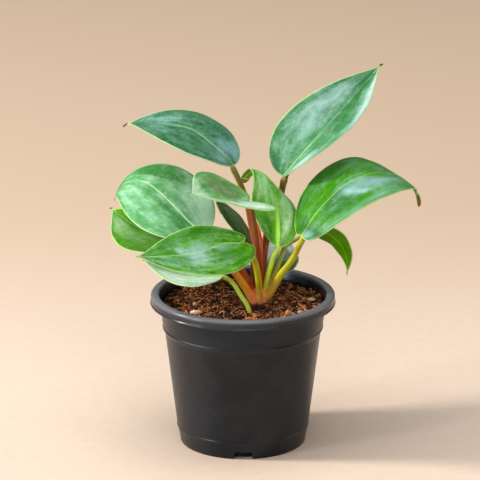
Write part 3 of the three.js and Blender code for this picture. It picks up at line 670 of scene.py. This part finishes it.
def leafMasks(tree, seed, ribWidth, edgeWidth):
    inputs = {label: attribute(tree, label.lower()) for label in ("Along", "Across", "Rib", "Edge")}
    inputs |= {"Rib Width": ribWidth, "Edge Width": edgeWidth, "Side Veins": float(bladeForm["sideVeins"]),
               "Seed": float(seed)}
    lines = addNode(tree, "ShaderNodeGroup", inputs, node_tree=leafLines)
    return lines, placeBlotches(tree, 13.0, 1.3, 0.35)


# The veins, the margin and the dry tip, which both faces show.
def laidLines(tree, colour, look, lines, finish, ribShare):
    ribTone = look.get("ribTone", leafFinish["ribTone"])
    colour = lay(tree, colour, ribTone, lines["Side Vein"], finish["sideVeins"])
    colour = lay(tree, colour, ribTone, lines["Midrib"], ribShare)
    colour = lay(tree, colour, leafFinish["marginTone"], lines["Margin"], finish["margin"])
    return lay(tree, colour, look["tipTone"], fade(tree, attribute(tree, "tail"), *finish["tip"]))


def leafTopMaterial(name, look, seed):
    finish = leafFinish
    material, tree, shader = newMaterial("leafTop_" + name)
    ribWidth, ribShare = look["rib"]
    lines, spots = leafMasks(tree, seed, ribWidth, finish["edgeWidth"])
    mottle = cloud(tree, objectSpot(tree), 1000 / finish["mottleSize"], 3.0, 0.6)
    tone = weighed(tree, (spots["Patches"], finish["patches"]), (lines["Streaks"], finish["streaks"]),
                   start=fade(tree, lines["Strokes"], 0.38, 0.62, 0.0, finish["strokes"]))
    tone = calc(tree, "ADD", tone, fade(tree, mottle, 0.34, 0.66, *finish["mottle"]), clamp=True)
    colour = lay(tree, look["deep"], look["light"], tone)
    uneven = finish["uneven"]
    # Each kind of patch lays its tone: the bloom kind is waxy bloom with a painted sheen, pale is painted
    # sheen and painted light where the blade lies in shade, and vivid and dusk are deep and grey-green tones
    # that in places paint shade.
    for kind, size in patchSizes.items():
        if kind in look:
            rough = cloud(tree, objectSpot(tree), 1000 / size, 5.0, 0.68)
            mask = weighed(tree, (lines["Strokes"], uneven), (rough, uneven), (attribute(tree, kind), 1.0),
                           start=-uneven)
            mask = fade(tree, mask, -0.1, 1.15, 0.0, finish["cover"])
            colour = lay(tree, colour, look[kind][0], mask, fade(tree, tone, 0.0, 1.0, 0.75, 1.0))
    ribTone = look.get("ribTone", finish["ribTone"])
    colour = lay(tree, colour, ribTone, spots["Flecks"], finish["flecks"])
    if "ribEnd" in look:
        end = look["ribEnd"]
        ribShare = fade(tree, attribute(tree, "along"), end - 0.3, end, ribShare, 0.1 * ribShare)
    colour = laidLines(tree, colour, look, lines, finish, ribShare)
    height = weighed(tree, (lines["Streaks"], 0.5), (spots["Grain"], 0.35), (lines["Side Vein"], -0.3))
    fill(tree, shader, {
        "Base Color": colour, "Normal": bump(tree, height, 0.3, 0.1),
        "Roughness": fade(tree, tone, 0.0, 1.0, *look.get("roughness", finish["roughness"])),
        "Specular IOR Level": look.get("gloss", finish["gloss"]),
        "Coat Weight": look.get("coat", finish["coat"]), "Coat Roughness": finish["coatRoughness"]})
    return material


def leafUnderMaterial(name, look, seed):
    finish = underFinish
    material, tree, shader = newMaterial("leafUnder_" + name)
    lines, spots = leafMasks(tree, seed, finish["ribWidth"], finish["edgeWidth"])
    ground = look.get("underTone", finish["tone"])
    colour = lay(tree, ground, look["light"], spots["Patches"], finish["patches"])
    colour = lay(tree, colour, look["deep"], lines["Streaks"], finish["streaks"])
    colour = laidLines(tree, colour, look, lines, finish, finish["midrib"])
    height = weighed(tree, (lines["Side Vein"], 0.8), (spots["Grain"], 0.3))
    fill(tree, shader, {
        "Base Color": colour, "Roughness": finish["roughness"], "Normal": bump(tree, height, 0.4, 0.15),
        "Specular IOR Level": look.get("gloss", leafFinish["gloss"])})
    return material


# stalks: each petiole, the short stem that they grow from, and the sheath between them

crownForm = {"x": 10.5, "y": 4, "radius": 7.6, "bottom": 86, "soilZ": 98, "topRadius": 5, "top": 107,
             "rounding": 1.2, "knobs": 0.5, "knobSize": 4, "toneAt": 0.03}
petioles = {
    "upper_left": {
        "points": [(10, 5, 97), (10, 7, 105.5), (9.5, 10, 123), (7.5, 14, 137), (5, 17, 151),
                   (2.5, 17, 164.5), (-0.5, 17, 173)], "foot": 2.3, "neck": 1.9,
        "tones": ((0.60, 0.10, 0.02), (0.26, 0.05, 0.008), (0.20, 0.165, 0.02))},
    "upper_right": {
        "points": [(11.5, 7, 97), (12, 8, 104.5), (13, 8.5, 118.5), (15, 10.5, 135.5), (18, 15, 146),
                   (21.5, 20, 154.5), (24.5, 25, 162), (26.5, 28, 168.5)], "foot": 3.1, "neck": 2.2,
        "tones": ((0.50, 0.05, 0.01), (0.22, 0.045, 0.006), (0.16, 0.13, 0.015))},
    "left": {
        "points": [(9.5, 2, 94), (7, 0, 98.5), (2, -2.5, 108.5), (-5, -4, 119.5), (-15, -2.5, 132.5)],
        "foot": 3.4, "neck": 2.6, "broad": 0.15,
        "tones": ((1.0, 0.33, 0.12), (0.92, 0.36, 0.02), (0.66, 0.54, 0.02))},
    "left_under": {
        "points": [(9.5, 4, 96), (8, 4.5, 102), (4, 5, 111), (-1.5, 7, 119.5), (-8.5, 10, 128)],
        "foot": 2.4, "neck": 1.8, "tones": ((0.85, 0.16, 0.05), (0.62, 0.10, 0.012), (0.36, 0.26, 0.03))},
    "centre_left": {
        "points": [(11, 3, 96), (11, 3, 105), (10.5, 1, 126), (9.5, -1, 138.5), (8, -2.5, 151),
                   (6.5, -4.5, 160)], "foot": 2.2, "neck": 1.8,
        "tones": ((0.60, 0.10, 0.02), (0.20, 0.035, 0.005), (0.24, 0.08, 0.012))},
    "front_left": {
        "points": [(11, 1.5, 94), (11.5, -2, 100.5), (11, -5, 109), (10, -10, 120), (8, -16, 131),
                   (5, -20.5, 139)], "foot": 2.4, "neck": 1.9,
        "tones": ((1.0, 0.36, 0.11), (0.54, 0.46, 0.01), (0.32, 0.32, 0.01))},
    "centre": {
        "points": [(12.5, 5, 97), (14.5, 6, 103.5), (16.5, 5, 114), (18.5, 4, 121.5), (20.5, 2.5, 129)],
        "foot": 2.2, "neck": 1.6, "tones": ((0.90, 0.52, 0.10), (0.66, 0.88, 0.06), (0.58, 0.88, 0.10))},
    "back_left": {
        "points": [(9.5, 6, 97), (8, 8, 103.5), (7, 12, 113), (6.5, 15.5, 121.5)], "foot": 2, "neck": 1.5,
        "tones": ((0.50, 0.12, 0.03), (0.26, 0.10, 0.02), (0.16, 0.16, 0.03))},
    "right": {
        "points": [(13, 3.5, 94), (16, 2, 100), (20.5, 1, 108), (26, -1, 118.5), (30.5, -3, 125),
                   (34.5, -5, 132), (37, -7.5, 138.5)], "foot": 3, "neck": 2,
        "tones": ((1.0, 0.38, 0.11), (0.60, 0.56, 0.02), (0.36, 0.33, 0.02))},
    "right_under": {
        "points": [(13, 6, 97), (16, 8, 104.5), (20.5, 9, 113), (23.5, 10, 119.5), (26, 11, 127),
                   (29, 12, 133.5), (35, 12.5, 137.5)], "foot": 2, "neck": 1.3,
        "tones": ((0.80, 0.40, 0.07), (0.50, 0.50, 0.05), (0.34, 0.42, 0.05))},
    "back_low": {
        "points": [(12, 7, 97), (14.5, 9.5, 103.5), (17, 10.5, 109)], "foot": 2, "neck": 1.6,
        "tones": ((0.50, 0.14, 0.03), (0.30, 0.18, 0.03), (0.22, 0.26, 0.05))},
    "front_low": {
        "points": [(5, -25, 84), (5, -25, 90), (4.8, -24.7, 95.5), (3.1, -22.5, 102.3),
                   (-1.3, -19.5, 108.7), (-7, -16.5, 117)], "foot": 1.9, "neck": 1.5,
        "tones": ((0.70, 0.36, 0.08), (0.50, 0.62, 0.05), (0.52, 0.70, 0.10))},
}
petioleForm = {"sides": 20, "rowLength": 1.3, "footFlare": 0.35, "flareLength": 12, "groove": 0.28,
               "grooveWidth": 0.5, "neckSwell": 0.12, "swellLength": 4, "blendLength": 6.0, "blendThin": 0.78}
stalkLook = {"shift": 0.22, "footFade": (0.02, 0.35), "topFade": (0.4, 0.95), "fibreTint": (0.72, 0.66, 0.55),
             "fibres": 0.4, "paleTint": (0.85, 0.66, 0.30), "pale": 0.22, "flecks": 0.35, "groove": 0.35,
             "roughness": (0.28, 0.44), "gloss": 0.3, "coat": 0.08, "coatRoughness": 0.2, "flesh": 0.12}


# A sheet rolled round a path. radiusAt gives the radius for a place along it and an angle round it.
def rolledSheet(spots, outward, sides, radiusAt):
    rows = len(spots) - 1
    bm = newSheet(sides, rows)
    along, around = bm.verts.layers.float.new("along"), bm.verts.layers.float.new("around")
    for vert in bm.verts:
        row = round((vert.co.y + 0.5) * rows)
        angle = 2 * math.pi * vert.co.x
        ahead = (spots[min(row + 1, rows)] - spots[max(row - 1, 0)]).normalized()
        side = ahead.cross(outward).normalized()
        back = ahead.cross(side)
        radius = radiusAt(row / rows, angle)
        vert[along], vert[around] = row / rows, math.cos(angle)
        vert.co = spots[row] + (back * math.cos(angle) + side * math.sin(angle)) * radius
    bmesh.ops.remove_doubles(bm, verts=bm.verts, dist=1e-4)
    capAndTurnOut(bm, [edge for edge in bm.edges if edge.is_boundary])
    return bm


def addPetiole(name, petiole):
    form = petioleForm
    joint, along, _, up = midribFrames(leaves[name])(0)
    ends = [joint - up * petiole["neck"] * 0.95 - along, joint + along * form["blendLength"] - up * 0.75]
    _, length = smoothPath(petiole["points"] + ends, 10)
    spots, length = smoothPath(petiole["points"] + ends, round(length / form["rowLength"]))
    outward = Vector((joint.x - crownForm["x"], joint.y - crownForm["y"], 0)).normalized()
    neckAt = 1 - (form["blendLength"] + 1.5) / length

    def radiusAt(place, angle):
        radius = petiole["foot"] + (petiole["neck"] - petiole["foot"]) * min(place / neckAt, 1)
        radius *= 1 + form["footFlare"] * max(1 - place * length / form["flareLength"], 0) ** 2
        radius *= 1 + form["neckSwell"] * math.exp(-((place - neckAt) * length / form["swellLength"]) ** 2)
        radius *= 1 - petiole.get("broad", 0) * math.cos(2 * angle)
        if place > neckAt:
            radius *= 1 - form["blendThin"] * ((place - neckAt) / (1 - neckAt)) ** 0.8
        turn = (angle + math.pi) % (2 * math.pi) - math.pi
        groove = form["groove"] * math.exp(-(turn / form["grooveWidth"]) ** 2)
        return radius * (1 - groove * min(place * 3, 1))

    bm = rolledSheet(spots, outward, form["sides"], radiusAt)
    alone = name == "front_low"  # this one has a node of its own
    node, slot = ("petiole_front_low", "front_petiole") if alone else ("crown", "crown")
    addPiece("stalk_" + name, bm, [petioleMaterial(name, petiole["tones"])], [node])


def petioleMaterial(name, tones):
    look = stalkLook
    material, tree, shader = newMaterial("stalk_" + name)
    spots = placeBlotches(tree, 9.0, 0.7, 0.45)
    shifted = weighed(tree, (spots["Patches"], look["shift"]), (attribute(tree, "along"), 1.0),
                      start=-look["shift"] / 2)
    colour = lay(tree, tones[0], tones[1], fade(tree, shifted, *look["footFade"]))
    colour = lay(tree, colour, tones[2], fade(tree, shifted, *look["topFade"]))
    fibre = fade(tree, cloud(tree, drawnOut(tree, 0.08), 1500.0, 2.0, 0.5), 0.35, 0.65)
    darker = lay(tree, colour, look["fibreTint"], 1.0, kind="MULTIPLY")
    colour = lay(tree, colour, darker, fibre, look["fibres"])
    lighter = lay(tree, colour, look["paleTint"], look["pale"])
    colour = lay(tree, colour, lighter, spots["Flecks"], look["flecks"])
    groove = fade(tree, attribute(tree, "around"), 0.75, 1.0)
    colour = lay(tree, colour, lighter, groove, look["groove"])
    fill(tree, shader, {
        "Base Color": colour, "Normal": bump(tree, fibre, 0.3, 0.08),
        "Roughness": fade(tree, spots["Grain"], 0.3, 0.7, *look["roughness"]),
        "Specular IOR Level": look["gloss"], "Coat Weight": look["coat"],
        "Coat Roughness": look["coatRoughness"], "Subsurface Weight": look["flesh"],
        "Subsurface Radius": (0.002, 0.001, 0.0004)})
    return material


def addCrown():
    form = crownForm
    rounding = form["rounding"]
    bm = turnedBody([(0, form["bottom"], 0), (form["radius"], form["bottom"], rounding),
                     (form["radius"], form["soilZ"], rounding),
                     (form["topRadius"] + 1.2, form["soilZ"] + 5, rounding),
                     (form["topRadius"] - 1, form["top"] - 1, rounding), (0, form["top"], 0)], 3, 48)
    bmesh.ops.translate(bm, vec=(form["x"], form["y"], 0), verts=bm.verts)
    layer = bm.verts.layers.float.new("along")
    for vert in bm.verts:
        vert.co += vert.co.normalized() * form["knobs"] * noise.noise(vert.co / form["knobSize"])
        vert[layer] = form["toneAt"]
    tones = petioles["left"]["tones"]
    addPiece("stemBase", bm, [petioleMaterial("base", tones)], ["crown"])


sheathForm = {"points": [(11, 5.5, 100), (11, 5.5, 107), (11, 5, 124), (11, 6, 137), (10, 10, 146),
                         (8.5, 14, 153)], "rows": 60, "radius": 3.2, "keel": 0.18, "facing": (0.3, -1, 0),
              "tones": ((0.22, 0.015, 0.004), (0.50, 0.035, 0.006), (0.90, 0.15, 0.015))}


def addSheath():
    form = sheathForm
    spots, _ = smoothPath(form["points"], form["rows"])

    def radiusAt(place, angle):
        return form["radius"] * (1 + form["keel"] * math.cos(2 * angle)) * max(1 - place ** 4, 0.03) ** 0.8

    bm = rolledSheet(spots, Vector(form["facing"]).normalized(), petioleForm["sides"], radiusAt)
    addPiece("sheathLeaf", bm, [petioleMaterial("sheath", form["tones"])], ["sheath"])


# pot: its main corners as (radius, height), and the profile's steps, each set off from a corner
# as (corner, outwards, up, rounding)

potForm = {
    "height": 104.5, "lipFoot": 98, "wall": 1.2, "floor": 2.2, "steps": 168, "sharpAngle": 38,
    "corners": {"foot": (42.4, 0), "footTop": (43.5, 6.9), "bodyFoot": (44.7, 11.9), "bodyTop": (52.8, 78.4),
                "collarFoot": (54.1, 81.3), "collarTop": (56.4, 98), "lip": (62.5, 98)},
    "outside": [("foot", 0, 0, 0.8), ("footTop", 0, 0, 0.35), ("bodyFoot", -0.15, -0.8, 0.25),
                ("bodyFoot", 0.3, -0.2, 0.2), ("bodyFoot", 0.3, 0.3, 0.2), ("bodyFoot", 0.05, 0.9, 0.3),
                ("bodyTop", 0, 0, 0.8), ("collarFoot", -0.2, -0.9, 0.25), ("collarFoot", 0.35, -0.3, 0.3),
                ("collarFoot", 0.3, 0.4, 0.3), ("collarFoot", -0.05, 0.9, 0.3), ("collarTop", 0, 0, 0.8),
                ("lip", -0.1, 0, 0.3), ("lip", 0.2, 0.35, 0.2), ("lip", 0.15, 0.8, 0.3),
                ("lip", -0.35, 1.3, 0.4), ("lip", -0.2, 6.5, 1.7), ("collarTop", 0.2, 6.4, 1.1)],
    "inside": [("collarTop", 0, -1, 0.8), ("collarFoot", 0, 0.4, 0.5), ("bodyTop", 0, -0.6, 0.5),
               ("bodyFoot", 0, 0, 0.5), ("footTop", 0, 0, 0.5), ("foot", 0, 2.2, 0.5)],
    "slots": 4, "slotWidth": 14.5, "slotTop": 11.5, "slotHeight": 5.3, "slotDepth": 8, "slotTurn": 0.5,
}


def potProfile(form):
    profile = [(0, 0, 0)]
    for side, inset in (("outside", 0), ("inside", form["wall"])):
        for corner, outwards, up, rounding in form[side]:
            radius, z = form["corners"][corner]
            profile.append((radius + outwards - inset, z + up, rounding))
    return profile + [(0, form["floor"], 0)]


def addPot(form):
    bm = turnedBody(potProfile(form), 4, form["steps"])
    pot = addPiece("nurseryPot", bm, [potMaterial()], ["pot"])
    cutter = drainCutter(form)
    cut = pot.modifiers.new("drain", "BOOLEAN")
    cut.object = cutter
    cut.solver = "EXACT"
    applyModifiers(pot)
    bpy.data.objects.remove(cutter)
    smooth(pot.data, form["sharpAngle"])


def drainCutter(form):
    bm = bmesh.new()
    for turn in range(form["slots"]):
        made = bmesh.ops.create_cube(bm, size=1)["verts"]
        size = (form["slotWidth"], form["slotDepth"] * 2, form["slotHeight"] * 2)
        bmesh.ops.scale(bm, vec=size, verts=made)
        for vert in made:
            if vert.co.z > 0:
                vert.co.x *= form["slotTop"] / form["slotWidth"]
        bmesh.ops.translate(bm, vec=(0, -form["corners"]["foot"][0], 0), verts=made)
        angle = 2 * math.pi * turn / form["slots"] + math.radians(form["slotTurn"])
        bmesh.ops.rotate(bm, cent=(0, 0, 0), matrix=Matrix.Rotation(angle, 3, "Z"), verts=made)
    return newObject("drainCutter", bm)


potLook = {"tone": (0.005, 0.0055, 0.007), "worn": (0.026, 0.026, 0.030), "wornPatches": 0.25, "scuffs": 0.3,
           "dust": (0.12, 0.11, 0.10), "dustFlecks": 0.3, "lipSheen": (0.24, 0.24, 0.26), "lipSheenFrom": 101.6,
           "lipSheenShare": 0.6, "wholeLipSheen": 0.07, "roughness": 0.30, "gloss": 0.32,
           "glossTint": (0.76, 0.89, 1.0)}


def potMaterial():
    look = potLook
    material, tree, shader = newMaterial("nurseryPot")
    spots = placeBlotches(tree, 22.0, 0.9, 0.25)
    scuff = fade(tree, cloud(tree, drawnOut(tree, 0.25), 260.0, 6.0, 0.7), 0.55, 0.75)
    z = axisPlace(tree, "Z")
    onLip = fade(tree, z, (potForm["lipFoot"] - 0.1) * mm, (potForm["lipFoot"] + 0.1) * mm)
    colour = lay(tree, look["tone"], look["worn"], spots["Patches"], look["wornPatches"])
    colour = lay(tree, colour, look["worn"], scuff, look["scuffs"])
    colour = lay(tree, colour, look["dust"], spots["Flecks"], look["dustFlecks"])
    # The lip is lightened, a little all over and more towards its top: a painted highlight of the light
    # glancing off the lip.
    colour = lay(tree, colour, look["lipSheen"], onLip, look["wholeLipSheen"])
    lipTopSheen = fade(tree, z, look["lipSheenFrom"] * mm, potForm["height"] * mm, 0.0, look["lipSheenShare"])
    colour = lay(tree, colour, look["lipSheen"], lipTopSheen)
    rough = weighed(tree, (scuff, 0.15), (spots["Patches"], 0.08), (onLip, -0.1), start=look["roughness"])
    fill(tree, shader, {
        "Base Color": colour, "Roughness": rough, "Normal": bump(tree, spots["Grain"], 0.25, 0.06),
        "Specular IOR Level": look["gloss"], "Specular Tint": (*look["glossTint"], 1)})
    return material


# soil

soilForm = {"level": 96.3, "mound": 1.6, "top": 54.4, "sectors": 260, "rings": 84, "lump": 1.7, "lumpSize": 7,
            "crumb": 0.9, "crumbSize": 2.4, "hollow": (11, -13.5), "hollowRadius": 9, "hollowDepth": 4,
            "gap": 0.3, "chipClear": 4.5, "seed": 4}
chipBoxes = [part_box(f"grit_{number}") for number in (1, 2, 3, 4)]
chipSpots = [((low + high) / 2 / mm)[:2] for low, high in chipBoxes]
# The gap tone is near black: painted shade in the gaps between crumbs and deep inside the pot.
soilLook = {"gap": (0.005, 0.0025, 0.0015), "dark": (0.050, 0.018, 0.008), "mid": (0.19, 0.058, 0.020),
            "fibre": (1.0, 0.37, 0.14), "straw": (1.0, 0.64, 0.38), "roughness": 0.85, "gloss": 0.25,
            "steps": (("dark", 0.0, 0.25), ("mid", 0.2, 0.55), ("fibre", 0.5, 0.85), ("straw", 0.9, 1.0))}


def soilRelief(x, y):
    form = soilForm
    lumps = noise.fractal(Vector((x, y, 2)) / form["lumpSize"], 1.0, 2.0, 3) * form["lump"]
    return lumps + noise.fractal(Vector((x, y, 9)) / form["crumbSize"], 0.8, 2.0, 3) * form["crumb"]


# 1 in the middle of the hollow before the stem, and 0 away from it.
def inHollow(x, y):
    return math.exp(-(math.dist((x, y), soilForm["hollow"]) / soilForm["hollowRadius"]) ** 2)


def soilHeight(x, y):
    form = soilForm
    mound = form["mound"] * math.cos(min(math.hypot(x, y) / 54, 1) * math.pi / 2)
    swell = 0.5 * math.sin(0.31 * x + 1.1) * math.cos(0.27 * y - 0.4) + 0.35 * math.sin(0.52 * y - 0.23 * x)
    return form["level"] + mound + swell + soilRelief(x, y) - form["hollowDepth"] * inHollow(x, y)


def addSoil(form):
    bm = newSheet(form["sectors"], form["rings"])
    tint = bm.verts.layers.float.new("tint")
    for vert in bm.verts:
        radius = form["top"] * (0.5 - vert.co.y) ** 0.8
        angle = 2 * math.pi * vert.co.x
        x, y = radius * math.cos(angle), radius * math.sin(angle)
        vert.co = Vector((x, y, soilHeight(x, y)))
        # The tint is lighter on raised lumps and darker in the hollow before the stem: painted light and
        # painted shade.
        vert[tint] = 0.35 + 0.3 * soilRelief(x, y) - inHollow(x, y)
    bmesh.ops.remove_doubles(bm, verts=bm.verts, dist=1e-4)
    rim = [edge for edge in bm.edges if edge.is_boundary]
    inset = potForm["wall"] + form["gap"]
    for corner in ("collarFoot", "bodyTop", "bodyFoot", "foot"):  # down the pot's inside
        radius, z = potForm["corners"][corner]
        z = max(z, potForm["floor"] + form["gap"])
        grown = bmesh.ops.extrude_edge_only(bm, edges=rim)["geom"]
        for vert in [item for item in grown if isinstance(item, bmesh.types.BMVert)]:
            flat = Vector((vert.co.x, vert.co.y, 0)).normalized() * (radius - inset)
            vert.co = Vector((flat.x, flat.y, z))
        rim = [item for item in grown if isinstance(item, bmesh.types.BMEdge)]
    capAndTurnOut(bm, rim)
    addPiece("soilBody", bm, [soilMaterial("soilBody", 0.6)], ["soil"])


# Every copy keeps the order of the first one's vertices, so that each can be placed on its own.
def copied(bm, doublings):
    size = len(bm.verts)
    for _ in range(doublings):
        bmesh.ops.duplicate(bm, geom=bm.verts[:] + bm.edges[:] + bm.faces[:])
    verts = bm.verts[:]
    return [verts[start:start + size] for start in range(0, len(verts), size)]


# A random place on the soil that leaves the pale chips free.
def randomSpot(reach):
    while True:
        radius = reach * math.sqrt(random.random())
        angle = random.uniform(0, 2 * math.pi)
        spot = (radius * math.cos(angle), radius * math.sin(angle))
        if all(math.dist(spot, chip) > soilForm["chipClear"] for chip in chipSpots):
            return spot


# Mostly a size from the common range, and now and then one from the rare range.
def randomSize(common, rare, commonShare=0.85):
    return random.uniform(*common) if random.random() < commonShare else random.uniform(*rare)


fibreForm = {"doublings": 12, "inset": 1.5, "lengths": ((2.5, 7.0), (7, 13)), "bend": 2.2, "arch": 0.6,
             "thick": (0.15, 0.42), "tilt": (-0.3, 0.4), "toneShare": 0.95}


# Strands of coco fibre, each a three-sided sheet rolled round a bent line, lying on the soil.
def addFibres(form):
    random.seed(soilForm["seed"])
    sides, rows = 3, 4
    bm = newSheet(sides, rows)
    tint = bm.verts.layers.float.new("tint")
    for strand in copied(bm, form["doublings"]):
        x, y = randomSpot(soilForm["top"] - form["inset"])
        turn, bend = random.uniform(0, 2 * math.pi), random.uniform(-form["bend"], form["bend"])
        length = randomSize(*form["lengths"])
        thick, tilt = random.uniform(*form["thick"]), random.uniform(*form["tilt"])
        # Strands in the hollow before the stem are darker: painted shade.
        tone = random.random() ** 1.15 * (1 - 0.8 * inHollow(x, y))
        spots = []
        for row in range(rows + 1):
            way = row / rows - 0.5
            heading = turn + bend * way
            px, py = x + length * way * math.cos(heading), y + length * way * math.sin(heading)
            inward = min(1, (soilForm["top"] - 0.7) / math.hypot(px, py))
            px, py = px * inward, py * inward
            lift = 0.3 + tilt * length * (way + 0.5) + form["arch"] * (1 - 4 * way * way)
            spots.append(Vector((px, py, soilHeight(px, py) + max(lift, 0.1))))
        for vert in strand:
            row = round((vert.co.y + 0.5) * rows)
            angle = 2 * math.pi * vert.co.x
            ahead = (spots[min(row + 1, rows)] - spots[max(row - 1, 0)]).normalized()
            side = ahead.cross(Vector((0, 0, 1))).normalized()
            girth = thick * (0.4 if row in (0, rows) else 1)
            vert.co = spots[row] + (side * math.cos(angle) + side.cross(ahead) * math.sin(angle)) * girth
            vert[tint] = tone
    mergeAndTurnOut(bm, 2e-3)
    addPiece("cocoFibres", bm, [soilMaterial("cocoFibres", form["toneShare"])], ["soil"])


crumbForm = {"doublings": 12, "inset": 1.2, "sizes": ((0.4, 1.1), (1.1, 2.4)), "tilt": 0.7,
             "squeeze": ((0.8, 1.7), (0.5, 0.9), (0.35, 0.75)), "dents": (0.75, 1.2), "toneShare": 0.8}


# Crumbs of bark and coco pith: small lumps, turned and squeezed at random.
def addCrumbs(form):
    random.seed(soilForm["seed"] + 1)
    bm = bmesh.new()
    bmesh.ops.create_icosphere(bm, subdivisions=1, radius=1)
    tint = bm.verts.layers.float.new("tint")
    for lump in copied(bm, form["doublings"]):
        x, y = randomSpot(soilForm["top"] - form["inset"])
        size = randomSize(*form["sizes"])
        squeeze = Vector([random.uniform(*span) for span in form["squeeze"]]) * size
        # Crumbs in the hollow before the stem are darker: painted shade.
        tone = random.random() * 0.8 * (1 - 0.8 * inHollow(x, y))
        turn = Matrix.Rotation(random.uniform(0, 6.3), 3, "Z")
        turn = turn @ Matrix.Rotation(random.uniform(-form["tilt"], form["tilt"]), 3, "X")
        middle = Vector((x, y, soilHeight(x, y) + 0.25 * size))
        for vert in lump:
            vert.co = middle + turn @ (vert.co * squeeze * random.uniform(*form["dents"]))
            vert[tint] = tone
    material = soilMaterial("soilCrumbs", form["toneShare"])
    addPiece("soilCrumbs", bm, [material], ["soil"], sharpAngle=35)


# A share of the colour comes from the piece's own tint, and the rest from the pattern.
def soilMaterial(name, share):
    look = soilLook
    material, tree, shader = newMaterial(name)
    spots = placeBlotches(tree, 3.2, 0.5, 0.4)
    tint = attribute(tree, "tint")
    # The near-black patches are painted shade in the gaps.
    colour = lay(tree, look["gap"], look["dark"], spots["Patches"])
    colour = lay(tree, colour, look["mid"], fade(tree, spots["Grain"], 0.42, 0.68))
    loose = look["gap"]
    for tone, start, end in look["steps"]:
        loose = lay(tree, loose, look[tone], fade(tree, tint, start, end))
    colour = lay(tree, colour, loose, share)
    # Below 70 to 85 mm the soil turns to the near-black gap tone: painted shade deep inside the pot.
    colour = lay(tree, look["gap"], colour, fade(tree, axisPlace(tree, "Z"), 0.07, 0.085))
    fill(tree, shader, {
        "Base Color": colour, "Roughness": look["roughness"], "Specular IOR Level": look["gloss"],
        "Normal": bump(tree, spots["Grain"], 0.8, 0.5)})
    return material


gritLook = {"tones": ((1.0, 0.82, 0.56), (0.40, 0.25, 0.15), (0.95, 0.78, 0.58), (0.60, 0.42, 0.28)),
            "worn": (0.60, 0.40, 0.26), "stain": (0.40, 0.20, 0.10), "roughness": 0.8}


# The pale chips keep their place and take a finer, broken surface.
def addGrit():
    for number, (low, high) in enumerate(chipBoxes, 1):
        middle, size = (low + high) / 2 / mm, (high - low) / mm
        bm = bmesh.new()
        bmesh.ops.create_icosphere(bm, subdivisions=4, radius=0.5)
        for vert in bm.verts:
            rough = 0.95 + 0.5 * noise.noise(vert.co * 5 + Vector((number, 0, 0)))
            rough = min(rough + 0.2 * noise.noise(vert.co * 12), 1.04)
            vert.co = Vector([c * s * rough for c, s in zip(vert.co, size)]) + middle
        addPiece(f"chip_{number}", bm, [gritMaterial(number)], [f"grit_{number}"], sharpAngle=50)


def gritMaterial(number):
    material, tree, shader = newMaterial(f"chip_{number}")
    spots = placeBlotches(tree, 1.5, 0.4, 0.5)
    colour = lay(tree, gritLook["tones"][number - 1], gritLook["worn"], spots["Patches"], 0.7)
    colour = lay(tree, colour, gritLook["stain"], spots["Flecks"], 0.6)
    fill(tree, shader, {
        "Base Color": colour, "Roughness": gritLook["roughness"],
        "Normal": bump(tree, spots["Grain"], 0.6, 0.2)})
    return material


# floor

floorLook = {"halfSize": 5000, "tone": (0.74, 0.583, 0.471), "grain": (0.64, 0.50, 0.393),
             "farShade": (0.61, 0.455, 0.325), "farFrom": 120, "farTo": 560, "roughness": 0.7, "gloss": 0.2}


def addFloor(look):
    bm = bmesh.new()
    bmesh.ops.create_grid(bm, x_segments=2, y_segments=2, size=look["halfSize"])
    floor = newObject("floor", bm)
    material, tree, shader = newMaterial("floor")
    spots = placeBlotches(tree, 9.0, 1.1, 0.2)
    grain = weighed(tree, (spots["Patches"], 0.2), (spots["Grain"], 0.6))
    colour = lay(tree, look["tone"], look["grain"], grain)
    # Darker towards the back: painted shade.
    far = fade(tree, axisPlace(tree, "Y"), look["farFrom"] * mm, look["farTo"] * mm)
    colour = lay(tree, colour, look["farShade"], far)
    fill(tree, shader, {
        "Base Color": colour, "Roughness": look["roughness"], "Specular IOR Level": look["gloss"]})
    floor.data.materials.append(material)


# making

bpy.context.scene.view_settings.view_transform = "Standard"
addCamera(cameraView)
addWorld(worldLook)
for lightName, light in lights.items():
    addLight(lightName, light)
print("camera and lights are set")

blotches = makeBlotches()
leafLines = makeLeafLines()
addFloor(floorLook)
addPot(potForm)
print("pot is made")

addSoil(soilForm)
addFibres(fibreForm)
addCrumbs(crumbForm)
addGrit()
print("soil is filled")

addCrown()
addSheath()
for leafName, petiole in petioles.items():
    addPetiole(leafName, petiole)
print("stalks are grown")

for seed, (leafName, leaf) in enumerate(leaves.items()):
    addBlade(leafName, leaf, leafLooks[leafName], seed)
print("blades are made")
